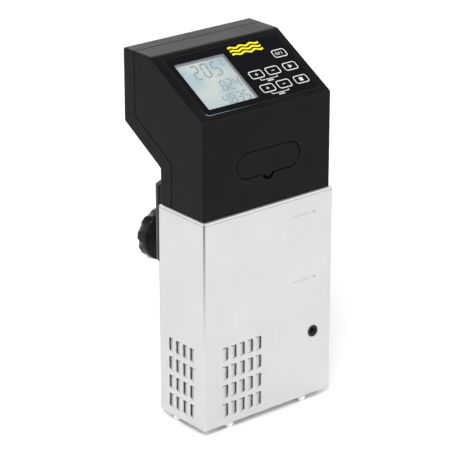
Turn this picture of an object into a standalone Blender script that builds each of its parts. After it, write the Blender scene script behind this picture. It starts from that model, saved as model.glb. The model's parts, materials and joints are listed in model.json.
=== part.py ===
"""A clamp-on sous vide circulator: steel skirt with pump and heater, moulded head with controls, rear clamp.

Metres, +Z up. The front faces -Y. Everything hangs from the empty "circulator", whose own frame has the front
of the skirt at Y = 0 and the bottom edge of the skirt at Z = 0.
"""

from collections import namedtuple
from math import cos, pi, radians, sin, tan

import bmesh
import bpy
from mathutils import Matrix, Vector

# Skirt: the folded steel wrap round the pump and the heater.
SKIRT_WIDTH = 0.135
SKIRT_HEIGHT = 0.181
SKIRT_DEPTH = 0.0569
SHEET = 0.001
FLANGE = 0.007
EDGE_RADIUS = 0.0015
GAP = 0.0003
PAST = 0.01  # how far a cutter runs past the face it opens
BACK_FACE = 0.0582

# Louvres: columns of lanced tabs bent inwards. The front ones open to the right, the side ones to the rear.
LOUVRE_ROWS = 4
LOUVRE_BOTTOM = 0.0076
LOUVRE_ROW_PITCH = 0.0166
LOUVRE_HEIGHT = 0.012
LOUVRE_WIDTH = 0.0058
LOUVRE_ANGLE = radians(20)
LOUVRE_CORNER = 0.0016
FRONT_LOUVRE_COLUMNS = 5
FRONT_LOUVRE_START = -0.0483
FRONT_LOUVRE_PITCH = 0.0087
SIDE_LOUVRE_COLUMNS = 4
SIDE_LOUVRE_START = 0.0133
SIDE_LOUVRE_PITCH = 0.00905

# Feet under the turned-in bottom edge.
FOOT_HEIGHT = 0.0047
FOOT_RADIUS = 0.0038
FOOT_STEM = 0.0015
FOOT_SIDE = 0.0022
FOOT_WAIST = (0.0032, 0.0038)
FOOT_TIP = 0.0020
FOOT_PLACES = [
    (-0.0390, 0.0044),
    (0.0390, 0.0044),
    (-0.0625, 0.0408),
    (0.0625, 0.0408),
    (-0.0390, 0.0527),
    (0.0390, 0.0527),
]

# Slots in the base plate that let the water in.
INTAKE_SLOTS = 6
INTAKE_START = -0.048
INTAKE_PITCH = 0.011
INTAKE_WIDTH = 0.005
INTAKE_FRONT = 0.016
INTAKE_BACK = 0.042

# Head: the moulded housing, as its outline seen from the side.
HEAD_WIDTH = 0.1314
HEAD_FRONT = 0.0022
HEAD_BACK = 0.0578
HEAD_REAR = 0.1042
HEAD_BOTTOM = SKIRT_HEIGHT + GAP
HEAD_TOP = 0.3004
BELOW_HEAD = HEAD_BOTTOM - 3 * PAST
ABOVE_HEAD = HEAD_TOP + 3 * PAST
PANEL_START_HEIGHT = 0.2616
PANEL_ANGLE = radians(29.7)
REAR_KNEE_HEIGHT = 0.2388
BACK_KNEE_HEIGHT = 0.2110
HEAD_ROUNDING = 0.00195
WALL = 0.0022
REAR_COVER_DEPTH = 0.0148
SEAM_HALF = 0.0002
TRIM = 0.006
BOSS_HALF = 0.004
BOSS_FRONT = 0.072
BOSS_BACK = 0.0875

# Control panel, in the panel's own frame: x across, y up the slope, z out of it.
OVERLAY_LOW = Vector((-0.0578, 0.0085))
OVERLAY_HIGH = Vector((0.0590, 0.0737))
OVERLAY_CORNER = 0.003
OVERLAY_TOP = -0.0003
OVERLAY_THICKNESS = 0.0008
WINDOW_LOW = Vector((-0.0515, 0.0146))
WINDOW_HIGH = Vector((-0.0011, 0.0656))
WINDOW_CORNER = 0.0008
WINDOW_THICKNESS = 0.001
LCD_TOP = -WALL - GAP
LCD_THICKNESS = 0.0035
LCD_MARGIN = 0.0035
BOARD_TOP = -0.0075
BOARD_THICKNESS = 0.0016
BOARD_MARGIN = 0.002
SWITCH_HEIGHT = 0.0011
SWITCH_SIDE = 0.006
KEY_WIDTH = 0.0144
KEY_HEIGHT = 0.0093
KEY_CORNER = 0.0028
KEY_STEM_RADIUS = 0.002
KEY_STEM_END = -0.0056
KEY_PLACES = {
    "key_power": (0.0476, 0.0521),
    "key_start": (0.0477, 0.0368),
    "key_stop": (0.0479, 0.0214),
    "key_temp_up": (0.0124, 0.0367),
    "key_temp_down": (0.0295, 0.0368),
    "key_time_up": (0.0127, 0.0210),
    "key_time_down": (0.0297, 0.0212),
}

# Service hatch on the front of the head, the tray behind it and the reset button in the tray.
HATCH_CENTRE = Vector((0.0002, 0.2184))
HATCH_WIDTH = 0.0642
HATCH_HEIGHT = 0.021
HATCH_THICKNESS = 0.002
NOTCH_RADIUS = 0.0052
NOTCH_DEPTH = 0.0014
LIP_RADIUS = 0.0026
LIP_THICKNESS = 0.001
LIP_RISE = 0.0006
TRAY_MARGIN = 0.0022
TRAY_WALL = 0.0012
TRAY_DEPTH = 0.0045
RESET_CENTRE = Vector((-0.0156, 0.2184))
RESET_RADIUS = 0.004
RESET_FRONT = 0.0056
RESET_BACK = 0.010
CUTOUT_FRONT = 0.0115
CUTOUT_DEPTH = 0.012
CUTOUT_SIDE = 0.015

# Deck between the wet part and the electronics.
GASKET_THICKNESS = 0.001
GASKET_WIDTH = 0.0035
DECK_BOTTOM = HEAD_BOTTOM + GASKET_THICKNESS + GAP
DECK_THICKNESS = 0.002
DECK_HALF_WIDTH = HEAD_WIDTH / 2 - WALL - GAP
DECK_FRONT = HEAD_FRONT + WALL + GAP
DECK_BACK = HEAD_BACK - WALL - GAP

# Pump and motor share one upright axis.
PUMP_X = 0.0296
PUMP_Y = 0.029
SHAFT_RADIUS = 0.003
SHAFT_BOTTOM = 0.0465
SHAFT_TOP = 0.243
VOLUTE_RADIUS = 0.022
VOLUTE_WALL = 0.002
VOLUTE_BOTTOM = 0.044
VOLUTE_TOP = 0.066
COLUMN_RADIUS = 0.008
COLUMN_WALL = 0.002
IMPELLER_RADIUS = 0.0165
IMPELLER_BOTTOM = 0.048
IMPELLER_TOP = 0.0605
IMPELLER_HUB_RADIUS = 0.0055
IMPELLER_VANES = 6
IMPELLER_VANE = 0.0015
COVER_HOLE_RADIUS = 0.008
MOTOR_RADIUS = 0.0195
MOTOR_BOTTOM = 0.190
MOTOR_TOP = 0.228
FAN_RADIUS = 0.019
FAN_BOTTOM = 0.231
FAN_TOP = 0.241
FAN_HUB_RADIUS = 0.006
FAN_BLADES = 5
FAN_BLADE = 0.0012
FAN_PITCH = radians(35)
BLADE_MARGIN = 0.001
BUSH_RADIUS = 0.007
BUSH_TOP = 0.188

# Outlet on the front of the skirt.
OUTLET_X = 0.0476
OUTLET_Z = 0.0577
OUTLET_BORE = 0.0035
GROMMET_FLANGE = 0.0051
GROMMET_NECK = 0.0044
GROMMET_PROUD = 0.0008
GROMMET_BACK = 0.0045
GROMMET_EDGE = 0.0003
SPOUT_RADIUS = 0.0049
SPOUT_FRONT = 0.0050

# Heater: a tube bent in two rows of hairpins.
HEATER_RADIUS = 0.0032
HEATER_BEND = 0.007
HEATER_X = -0.052
HEATER_ROWS = (0.017, 0.041)
HEATER_TOP = 0.196
HEATER_BOTTOM = 0.018
HEATER_CREST = 0.118
HEATER_HAIRPINS = 2
TEMPERATURE_PROBE = (0.001, 0.047, 0.0025, 0.060)
LEVEL_PROBE_MIN = (0.003, 0.012, 0.0015, 0.1066)
LEVEL_PROBE_MAX = (0.003, 0.022, 0.0015, 0.1642)
PROBE_TOP = 0.192

# Clamp behind the skirt. The screw runs along Y.
CLAMP_HEIGHT = 0.1128
BRACKET_HALF_WIDTH = 0.038
BRACKET_SHEET = 0.003
BRACKET_INNER = BACK_FACE + GAP
BRACKET_OUTER = 0.100
BRACKET_TOP = 0.184
BRACKET_SHOULDER = (0.0945, 0.1795)  # where the top arm starts to fall, and where it meets the long leg
BRACKET_LEG_BOTTOM = 0.145
BRACKET_BOTTOM = 0.0935
BRACKET_BEND = 0.005
BRACKET_TAPER = (0.0230, 0.113)  # half width at the bottom, and the height where the taper starts
CLAMP_SCREW_RADIUS = 0.0047
SCREW_CHAMFER = 0.0006
CLAMP_SCREW_START = 0.0898
CLAMP_SCREW_END = 0.1416
NUT_RADIUS = 0.010
NUT_THICKNESS = 0.004
PAD_RADIUS = 0.014
PAD_FRONT = 0.0865
PAD_BACK = 0.0925
JAW_PAD_SIZE = (0.040, 0.003, 0.040)
PAD_CROWN = 0.008
PAD_EDGE = 0.0005
PAD_SHOULDER = 0.001
KNOB_FRONT = 0.136
KNOB_BACK = 0.148
KNOB_RADIUS = 0.0235
KNOB_FACE_RADIUS = 0.0219
KNOB_DISH = (0.0088, 0.0096, 0.0008)  # inner radius, outer radius and depth of the hollow in the back
KNOB_EDGE = (0.0196, 0.0004, 0.0030)  # radius and fall where the rounding starts, and its height
KNOB_HUB_RADIUS = 0.008
KNOB_HUB_LENGTH = 0.0055
KNOB_SCOOPS = 10
KNOB_PHASE = radians(10)
SCOOP_RADIUS = 0.0062
SCOOP_START = 0.0040
SCOOP_DEPTH = 0.0024

# Rear of the head: mains inlet, air slots and cover screws.
INLET_CENTRE = Vector((0.030, 0.268))
INLET_FLANGE = Vector((0.033, 0.026))
INLET_BODY = Vector((0.027, 0.020))
INLET_RECESS = Vector((0.024, 0.0165))
INLET_RECESS_DEPTH = 0.016
INLET_BODY_DEPTH = 0.020
INLET_FLANGE_THICKNESS = 0.002
INLET_CORNER = 0.002
INLET_PINS = ((-0.007, -0.002), (0, 0.002), (0.007, -0.002))
INLET_PIN = Vector((0.001, 0.002))
INLET_PIN_SET_BACK = 0.003
AIR_SLOTS = 8
AIR_SLOT_START = -0.047
AIR_SLOT_PITCH = 0.0055
AIR_SLOT_WIDTH = 0.0026
AIR_SLOT_LOW = 0.256
AIR_SLOT_HIGH = 0.280
COVER_SCREW_X = 0.056
COVER_SCREW_HEIGHTS = (0.2535, 0.2895)
COVER_SCREW_SINK = 0.0013
PANEL_SCREW_X = 0.0636
PANEL_SCREW_HEIGHTS = (0.0495, 0.1561)
BRACKET_SCREW_X = 0.026
BRACKET_SCREW_HEIGHT = 0.159

# Screws with a domed head and a cross slot; the dome and the slot are fractions of the head.
Screw = namedtuple("Screw", "head height shank length")
COVER_SCREW = Screw(0.0028, 0.0014, 0.0015, 0.026)
PANEL_SCREW = Screw(0.0024, 0.0016, 0.0013, 0.004)
BRACKET_SCREW = Screw(0.0036, 0.0018, 0.0016, 0.008)
DOME_SHOULDER = (0.7, 0.85)
DOME_SIDE = 0.3
SLOT_HALF_WIDTH = 0.16
SLOT_REACH = 0.6
SLOT_DEPTH = 0.45

# Boards and blocks inside the head, as pairs of corners.
CONTROL_BOARD = ((-0.048, 0.052, 0.2430), (0.010, 0.084, 0.2446))
TRANSFORMER = ((-0.046, 0.058, 0.2449), (-0.022, 0.080, 0.266))
HEAT_SINK = ((-0.018, 0.060, 0.2449), (0.006, 0.080, 0.268))
HEAT_SINK_BASE = 0.004
HEAT_SINK_FINS = 4

FRAME_ORIGIN = (0, (GROMMET_PROUD - KNOB_BACK) / 2, FOOT_HEIGHT)

X_AXIS = Vector((1, 0, 0))
Y_AXIS = Vector((0, 1, 0))
Z_AXIS = Vector((0, 0, 1))

# An outline drawn in XY stands up facing -Y, or lies across X with its own x along Y.
FACING_FRONT = Matrix.Rotation(radians(90), 4, "X")
ACROSS_X = Matrix(((0, 0, 1, 0), (1, 0, 0, 0), (0, 1, 0, 0), (0, 0, 0, 1)))


# ---------------------------------------------------------------- scene, materials and helpers


def clear_scene():
    for obj in list(bpy.data.objects):
        bpy.data.objects.remove(obj)


def new_collection(name):
    collection = bpy.data.collections.new(name)
    bpy.context.scene.collection.children.link(collection)
    return collection


def new_material(name, colour, roughness, metallic=0.0):
    material = bpy.data.materials.new(name)
    material.use_nodes = True
    shader = material.node_tree.nodes["Principled BSDF"]
    shader.inputs["Base Color"].default_value = (*colour, 1)
    shader.inputs["Roughness"].default_value = roughness
    shader.inputs["Metallic"].default_value = metallic
    return material


def new_empty(name, location, rotation=(0, 0, 0), parent=None):
    empty = bpy.data.objects.new(name, None)
    empty.empty_display_size = 0.02
    empty.location = location
    empty.rotation_euler = rotation
    empty.parent = parent
    parts.objects.link(empty)
    return empty


def new_object(name, mesh, material, frame=None):
    obj = bpy.data.objects.new(name, mesh)
    obj.parent = frame or body
    if material:
        mesh.materials.append(material)
    parts.objects.link(obj)
    return obj


def mesh_object(name, bm, material, frame=None):
    mesh = bpy.data.meshes.new(name)
    bm.to_mesh(mesh)
    bm.free()
    return new_object(name, mesh, material, frame)


def add_box(bm, low, high):
    """A box between two corners."""
    low, high = Vector(low), Vector(high)
    place = Matrix.Translation((low + high) / 2) @ Matrix.Diagonal((*(high - low), 1))
    return bmesh.ops.create_cube(bm, size=1, matrix=place)["verts"]


def add_rod(bm, start, end, radius, end_radius=None, segments=24):
    """A round rod, or a cone with its own radius at each end, between two points."""
    start, end = Vector(start), Vector(end)
    turn = Z_AXIS.rotation_difference(end - start).to_matrix().to_4x4()
    bmesh.ops.create_cone(
        bm,
        cap_ends=True,
        segments=segments,
        radius1=radius,
        radius2=radius if end_radius is None else end_radius,
        depth=(end - start).length,
        matrix=Matrix.Translation((start + end) / 2) @ turn,
    )


def box(name, low, high, material, frame=None):
    bm = bmesh.new()
    add_box(bm, low, high)
    return mesh_object(name, bm, material, frame)


def boxes(name, corners, material=None, frame=None):
    bm = bmesh.new()
    for low, high in corners:
        add_box(bm, low, high)
    return mesh_object(name, bm, material, frame)


def rod(name, start, end, radius, material, segments=24, frame=None):
    bm = bmesh.new()
    add_rod(bm, start, end, radius, segments=segments)
    return mesh_object(name, bm, material, frame)


def rods(name, ends, radius, material=None, segments=16, frame=None):
    bm = bmesh.new()
    for start, end in ends:
        add_rod(bm, start, end, radius, segments=segments)
    return mesh_object(name, bm, material, frame)


def outline_solid(name, points, low, high, material=None, turn=None, frame=None):
    """A flat outline in XY made solid from z = low to z = high, then turned."""
    curve = bpy.data.curves.new(name, "CURVE")
    curve.dimensions = "2D"
    curve.fill_mode = "BOTH"
    curve.extrude = (high - low) / 2
    spline = curve.splines.new("POLY")
    spline.points.add(len(points) - 1)
    for point, (x, y) in zip(spline.points, points):
        point.co = (x, y, 0, 1)
    spline.use_cyclic_u = True
    mesh = mesh_of_curve(curve)
    mesh.transform((turn or Matrix()) @ Matrix.Translation((0, 0, (high + low) / 2)))
    return new_object(name, mesh, material, frame)


def mesh_of_curve(curve):
    """The curve's surface as one closed mesh, with its caps welded on."""
    obj = bpy.data.objects.new(curve.name, curve)
    bpy.context.scene.collection.objects.link(obj)
    bpy.context.view_layer.update()
    graph = bpy.context.evaluated_depsgraph_get()
    mesh = bpy.data.meshes.new_from_object(obj.evaluated_get(graph))
    bpy.data.objects.remove(obj)
    bpy.data.curves.remove(curve)
    bm = bmesh.new()
    bm.from_mesh(mesh)
    bmesh.ops.remove_doubles(bm, verts=bm.verts, dist=1e-6)
    bmesh.ops.recalc_face_normals(bm, faces=bm.faces)
    bm.to_mesh(mesh)
    bm.free()
    return mesh


def turned(name, profile, material, steps=32, closed=False, frame=None):
    """A profile of (radius, height) points, running down its outer side, turned round the object's Z axis."""
    bm = bmesh.new()
    verts = [bm.verts.new((radius, 0, height)) for radius, height in profile]
    for first, second in zip(verts, verts[1:] + verts[:1] if closed else verts[1:]):
        bm.edges.new((first, second))
    obj = mesh_object(name, bm, material, frame)
    screw = obj.modifiers.new("Turn", "SCREW")
    screw.steps = steps
    screw.render_steps = steps
    screw.use_merge_vertices = True
    screw.merge_threshold = 1e-5
    return obj


def arc(centre, radius, start, end, steps):
    """Points on an arc, angles in degrees."""
    angles = [radians(start + (end - start) * i / steps) for i in range(steps + 1)]
    return [(centre[0] + radius * cos(a), centre[1] + radius * sin(a)) for a in angles]


def rounded_rectangle(low, high, radius, steps=3):
    inner_low = (low[0] + radius, low[1] + radius)
    inner_high = (high[0] - radius, high[1] - radius)
    points = arc(inner_high, radius, 0, 90, steps)
    points += arc((inner_low[0], inner_high[1]), radius, 90, 180, steps)
    points += arc(inner_low, radius, 180, 270, steps)
    points += arc((inner_high[0], inner_low[1]), radius, 270, 360, steps)
    return points


def stadium(centre, width, height, steps=8):
    reach = (width - height) / 2
    points = arc((centre[0] + reach, centre[1]), height / 2, -90, 90, steps)
    points += arc((centre[0] - reach, centre[1]), height / 2, 90, 270, steps)
    return points


def inset(points, distance):
    """A closed outline, drawn anticlockwise, moved inwards by a distance."""
    moved = []
    count = len(points)
    for i in range(count):
        before, here, after = (Vector(points[(i + k) % count]) for k in (-1, 0, 1))
        first = (here - before).normalized()
        second = (after - here).normalized()
        first_in = Vector((-first.y, first.x))
        second_in = Vector((-second.y, second.x))
        moved.append(here + (first_in + second_in) * distance / (1 + first_in.dot(second_in)))
    return moved


def boolean(obj, tool, operation):
    for collection in list(tool.users_collection):
        collection.objects.unlink(tool)
    tools.objects.link(tool)
    tool.hide_render = True
    tool.display_type = "WIRE"
    modifier = obj.modifiers.new(tool.name, "BOOLEAN")
    modifier.operation = operation
    modifier.object = tool
    modifier.solver = "EXACT"
    return obj


def cut(obj, *cutters):
    for cutter in cutters:
        boolean(obj, cutter, "DIFFERENCE")
    return obj


def add(obj, *additions):
    for addition in additions:
        boolean(obj, addition, "UNION")
    return obj


def bevel(obj, width, segments=2, angle=radians(30)):
    modifier = obj.modifiers.new("Rounding", "BEVEL")
    modifier.width = width
    modifier.segments = segments
    modifier.limit_method = "ANGLE"
    modifier.angle_limit = angle
    return obj


def put_origin(obj, point):
    """Moves the object's origin to a point of its parent's frame and leaves its shape where it is."""
    obj.data.transform(Matrix.Translation(-Vector(point)))
    obj.location = point
    return obj


# ---------------------------------------------------------------- skirt, back panel, base and feet


def louvre_places():
    """(hinge corner, direction along the sheet, direction inwards) of every louvre."""
    places = []
    for row in range(LOUVRE_ROWS):
        height = LOUVRE_BOTTOM + row * LOUVRE_ROW_PITCH
        for column in range(FRONT_LOUVRE_COLUMNS):
            start = Vector((FRONT_LOUVRE_START + column * FRONT_LOUVRE_PITCH, 0, height))
            places.append((start, X_AXIS, Y_AXIS))
        for column in range(SIDE_LOUVRE_COLUMNS):
            start = Vector((-SKIRT_WIDTH / 2, SIDE_LOUVRE_START + column * SIDE_LOUVRE_PITCH, height))
            places.append((start, Y_AXIS, X_AXIS))
    return places


def add_plate(bm, outline, place):
    """An outline in the place's XY plane, made solid over one unit of its z."""
    base = [bm.verts.new(place @ Vector((x, y, 0))) for x, y in outline]
    face = bm.faces.new(base)
    top = bmesh.ops.extrude_face_region(bm, geom=[face])["geom"]
    lifted = [item for item in top if isinstance(item, bmesh.types.BMVert)]
    bmesh.ops.translate(bm, verts=lifted, vec=place.to_3x3() @ Z_AXIS)


def louvre_outline(width, height, corner):
    """The slot's shape: square at the hinge, rounded at the free side."""
    points = [(0, height), (0, 0)]
    points += arc((width - corner, corner), corner, -90, 0, 1)
    points += arc((width - corner, height - corner), corner, 0, 90, 1)
    return points


def louvre_place(start, along, inwards, angle, thickness, lift):
    """Maps an outline onto the sheet: x along it, y up, z inwards, turned inwards about the hinge."""
    tilted_along = along * cos(angle) + inwards * sin(angle)
    tilted_inwards = inwards * cos(angle) - along * sin(angle)
    place = Matrix.Identity(4)
    place.col[0].xyz = tilted_along
    place.col[1].xyz = Z_AXIS
    place.col[2].xyz = tilted_inwards * thickness
    place.col[3].xyz = start + Z_AXIS * lift
    return place


def louvre_cutters():
    slots, tabs = bmesh.new(), bmesh.new()
    clearance = GAP
    outline = louvre_outline(LOUVRE_WIDTH, LOUVRE_HEIGHT, LOUVRE_CORNER)
    tab_height = LOUVRE_HEIGHT - 2 * clearance
    tab_outline = louvre_outline(LOUVRE_WIDTH, tab_height, LOUVRE_CORNER)
    for start, along, inwards in louvre_places():
        outside = start - inwards * SHEET
        add_plate(slots, outline, louvre_place(outside, along, inwards, 0, 3 * SHEET, 0))
        hinge = start - along * SHEET / 2
        add_plate(tabs, tab_outline, louvre_place(hinge, along, inwards, LOUVRE_ANGLE, SHEET, clearance))
    for bm in (slots, tabs):
        bmesh.ops.recalc_face_normals(bm, faces=bm.faces)
    return mesh_object("louvre_slots", slots, None), mesh_object("louvre_tabs", tabs, None)


def make_skirt():
    half = SKIRT_WIDTH / 2
    skirt = box("steel_skirt", (-half, 0, 0), (half, SKIRT_DEPTH + TRIM, SKIRT_HEIGHT), STEEL)
    bevel(skirt, EDGE_RADIUS, 2)
    opening = half - FLANGE
    back = SKIRT_DEPTH - FLANGE
    inner_low = (SHEET - half, SHEET, SHEET)
    inner_high = (half - SHEET, SKIRT_DEPTH - SHEET, SKIRT_HEIGHT - SHEET)
    far = Vector((half + PAST, SKIRT_DEPTH + PAST, SKIRT_HEIGHT + PAST))
    slots, tabs = louvre_cutters()
    cut(
        skirt,
        box("skirt_back_trim", (-far.x, SKIRT_DEPTH, -PAST), far, None),
        box("skirt_inside", inner_low, inner_high, None),
        box("skirt_through", (-opening, FLANGE, -PAST), (opening, back, far.z), None),
        box("skirt_back_opening", (-opening, back - TRIM, FLANGE), (opening, far.y, SKIRT_HEIGHT - FLANGE), None),
        slots,
    )
    add(skirt, tabs)
    outlet = Vector((OUTLET_X, 0, OUTLET_Z))
    reach = Y_AXIS * FLANGE / 2
    feet = [((x, y, -TRIM), (x, y, FLANGE / 2)) for x, y in FOOT_PLACES]
    screws = []
    for x, z in panel_screw_places():
        screws.append(((x, SKIRT_DEPTH - FLANGE / 2, z), (x, SKIRT_DEPTH + FLANGE / 2, z)))
    cut(
        skirt,
        rod("outlet_hole", outlet - reach, outlet + reach, GROMMET_NECK + GAP, None),
        rods("foot_holes", feet, FOOT_STEM + GAP, segments=10),
        rods("panel_screw_holes", screws, PANEL_SCREW.shank + GAP, segments=10),
    )
    return skirt


def panel_screw_places():
    return [(side * PANEL_SCREW_X, height) for height in PANEL_SCREW_HEIGHTS for side in (-1, 1)]


def bracket_screw_places():
    return [(side * BRACKET_SCREW_X, BRACKET_SCREW_HEIGHT) for side in (-1, 1)]


def make_back_panel():
    half = SKIRT_WIDTH / 2 - GAP
    panel = box("back_panel", (-half, BACK_FACE - SHEET, GAP), (half, BACK_FACE, SKIRT_HEIGHT - GAP), STEEL)
    bevel(panel, GAP, 1)
    holes = []
    for x, z in panel_screw_places() + bracket_screw_places():
        holes.append(((x, BACK_FACE - TRIM, z), (x, BACK_FACE + TRIM, z)))
    return cut(panel, rods("back_panel_holes", holes, BRACKET_SCREW.shank + GAP, segments=10))


def make_base_plate():
    half = SKIRT_WIDTH / 2 - SHEET - GAP
    low = (-half, SHEET + GAP, SHEET + GAP)
    high = (half, SKIRT_DEPTH - SHEET - GAP, 2 * SHEET + GAP)
    plate = box("base_plate", low, high, STEEL)
    slots = []
    for i in range(INTAKE_SLOTS):
        x = INTAKE_START + i * INTAKE_PITCH
        slots.append(((x, INTAKE_FRONT, 0), (x + INTAKE_WIDTH, INTAKE_BACK, TRIM)))
    return cut(plate, boxes("intake_slots", slots))


def make_feet():
    for number, (x, y) in enumerate(FOOT_PLACES, 1):
        profile = [
            (0, SHEET - GAP),
            (FOOT_STEM, SHEET - GAP),
            (FOOT_STEM, -GAP),
            (FOOT_RADIUS, -GAP),
            (FOOT_RADIUS, -FOOT_SIDE),
            (FOOT_WAIST[0], -FOOT_WAIST[1]),
            (FOOT_TIP, -FOOT_HEIGHT),
            (0, -FOOT_HEIGHT),
        ]
        foot = turned(f"foot_{number}", profile, SILICONE, steps=12)
        foot.location = (x, y, 0)


# ---------------------------------------------------------------- deck, pump, motor and heater


def make_deck():
    half, front, back = DECK_HALF_WIDTH, DECK_FRONT, DECK_BACK
    low = Vector((-half, front, HEAD_BOTTOM))
    gasket = box("deck_gasket", low, (half, back, HEAD_BOTTOM + GASKET_THICKNESS), RUBBER)
    ring = GASKET_WIDTH
    inner_low, inner_high = (ring - half, front + ring, low.z - TRIM), (half - ring, back - ring, low.z + TRIM)
    cut(gasket, box("gasket_inside", inner_low, inner_high, None))
    deck = box("deck_plate", (-half, front, DECK_BOTTOM), (half, back, DECK_BOTTOM + DECK_THICKNESS), ALUMINIUM)
    bm = bmesh.new()
    holes = [(PUMP_X, PUMP_Y, BUSH_RADIUS)]
    holes += [(HEATER_X, y, HEATER_RADIUS) for y in HEATER_ROWS]
    holes += [probe[:3] for probe in (TEMPERATURE_PROBE, LEVEL_PROBE_MIN, LEVEL_PROBE_MAX)]
    for x, y, radius in holes:
        add_rod(bm, (x, y, DECK_BOTTOM - TRIM), (x, y, DECK_BOTTOM + TRIM), radius + GAP, segments=12)
    cut(deck, mesh_object("deck_holes", bm, None))


def make_pump():
    column, inner = COLUMN_RADIUS, COLUMN_RADIUS - COLUMN_WALL
    column_top = HEAD_BOTTOM
    profile = [
        (column, column_top),
        (column, VOLUTE_TOP),
        (VOLUTE_RADIUS, VOLUTE_TOP),
        (VOLUTE_RADIUS, VOLUTE_BOTTOM),
        (VOLUTE_RADIUS - VOLUTE_WALL, VOLUTE_BOTTOM),
        (VOLUTE_RADIUS - VOLUTE_WALL, VOLUTE_TOP - VOLUTE_WALL),
        (inner, VOLUTE_TOP - VOLUTE_WALL),
        (inner, column_top),
    ]
    housing = turned("pump_housing", profile, DARK_PLASTIC, steps=20, closed=True)
    housing.location = (PUMP_X, PUMP_Y, 0)
    spout_start = Vector((OUTLET_X, SPOUT_FRONT, OUTLET_Z))
    spout_end = Vector((OUTLET_X, PUMP_Y, OUTLET_Z))
    add(housing, rod("spout", spout_start, spout_end, SPOUT_RADIUS, None, 16))
    bottom, top = (PUMP_X, PUMP_Y, VOLUTE_BOTTOM - TRIM), (PUMP_X, PUMP_Y, VOLUTE_TOP - VOLUTE_WALL)
    cut(
        housing,
        rod("spout_bore", spout_start - TRIM * Y_AXIS, spout_end - GAP * Y_AXIS, OUTLET_BORE, None, 16),
        rod("volute_inside", bottom, top, VOLUTE_RADIUS - VOLUTE_WALL - GAP / 3, None, 20),
    )

    low = VOLUTE_BOTTOM - GAP - VOLUTE_WALL
    ring = [
        (VOLUTE_RADIUS, VOLUTE_BOTTOM - GAP),
        (VOLUTE_RADIUS, low),
        (COVER_HOLE_RADIUS, low),
        (COVER_HOLE_RADIUS, VOLUTE_BOTTOM - GAP),
    ]
    cover = turned("pump_cover", ring, DARK_PLASTIC, steps=20, closed=True)
    cover.location = (PUMP_X, PUMP_Y, 0)


def bored(name, radius, low, high, material, steps=20):
    """A round body on the pump axis with a running bore for the shaft."""
    bore = SHAFT_RADIUS + GAP
    profile = [(radius, high), (radius, low), (bore, low), (bore, high)]
    obj = turned(name, profile, material, steps=steps, closed=True)
    obj.location = (PUMP_X, PUMP_Y, 0)
    return obj


def blades(name, count, start, end, thickness, low, high, pitch):
    """Flat blades round the pump axis, each turned by its pitch about its own length."""
    bm = bmesh.new()
    for i in range(count):
        spin = Matrix.Rotation(2 * pi * i / count, 4, "Z")
        middle = (low + high) / 2
        tilt = Matrix.Translation((0, 0, middle)) @ Matrix.Rotation(pitch, 4, "X") @ Matrix.Translation((0, 0, -middle))
        verts = add_box(bm, (start, -thickness / 2, low), (end, thickness / 2, high))
        bmesh.ops.transform(bm, matrix=Matrix.Translation((PUMP_X, PUMP_Y, 0)) @ spin @ tilt, verts=verts)
    return mesh_object(name, bm, None)


def make_motor():
    bored("motor_can", MOTOR_RADIUS, MOTOR_BOTTOM, MOTOR_TOP, STEEL)
    bored("shaft_bearing", BUSH_RADIUS, DECK_BOTTOM, BUSH_TOP, BRASS, steps=12)
    shaft = rod("motor_shaft", (0, 0, SHAFT_BOTTOM), (0, 0, SHAFT_TOP), SHAFT_RADIUS, STEEL, 12)
    shaft.location = (PUMP_X, PUMP_Y, 0)
    fan = bored("cooling_fan", FAN_HUB_RADIUS, FAN_BOTTOM, FAN_TOP, DARK_PLASTIC, steps=12)
    low, high = FAN_BOTTOM + BLADE_MARGIN, FAN_TOP - BLADE_MARGIN
    add(fan, blades("fan_blades", FAN_BLADES, FAN_HUB_RADIUS - BLADE_MARGIN, FAN_RADIUS, FAN_BLADE, low, high, FAN_PITCH))
    hub = IMPELLER_HUB_RADIUS
    impeller = bored("impeller", hub, IMPELLER_BOTTOM, IMPELLER_TOP, DARK_PLASTIC, steps=12)
    low, high = IMPELLER_BOTTOM + BLADE_MARGIN, IMPELLER_TOP - BLADE_MARGIN
    vanes = blades("impeller_vanes", IMPELLER_VANES, hub - BLADE_MARGIN, IMPELLER_RADIUS, IMPELLER_VANE, low, high, 0)
    add(impeller, vanes)


def heater_path():
    """Down, up and down again in the front row, across to the rear row, and back the same way."""
    front, rear = HEATER_ROWS
    bends = []
    for i in range(2 * HEATER_HAIRPINS - 1):
        centre_x = HEATER_X + HEATER_BEND * (2 * i + 1)
        low = i % 2 == 0
        centre_z = HEATER_BOTTOM + HEATER_BEND if low else HEATER_CREST
        start, end = (180, 360) if low else (180, 0)
        bends += arc((centre_x, centre_z), HEATER_BEND, start, end, 4)
    there = [(HEATER_X, front, HEATER_TOP)] + [(x, front, z) for x, z in bends]
    last_x = bends[-1][0]
    reach = (rear - front) / 2
    across = arc((front + reach, HEATER_CREST), reach, 180, 0, 6)
    over = [(last_x, y, z) for y, z in across]
    back = [(x, rear, z) for x, z in reversed(bends)] + [(HEATER_X, rear, HEATER_TOP)]
    return there + over + back


def make_heater():
    curve = bpy.data.curves.new("heating_element", "CURVE")
    curve.dimensions = "3D"
    curve.bevel_depth = HEATER_RADIUS
    curve.bevel_resolution = 2
    curve.use_fill_caps = True
    path = heater_path()
    spline = curve.splines.new("POLY")
    spline.points.add(len(path) - 1)
    for point, place in zip(spline.points, path):
        point.co = (*place, 1)
    new_object("heating_element", mesh_of_curve(curve), STEEL)


def make_probes():
    for name, (x, y, radius, low) in {
        "temperature_probe": TEMPERATURE_PROBE,
        "level_probe_min": LEVEL_PROBE_MIN,
        "level_probe_max": LEVEL_PROBE_MAX,
    }.items():
        rod(name, (x, y, low), (x, y, PROBE_TOP), radius, STEEL, 12)


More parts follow.
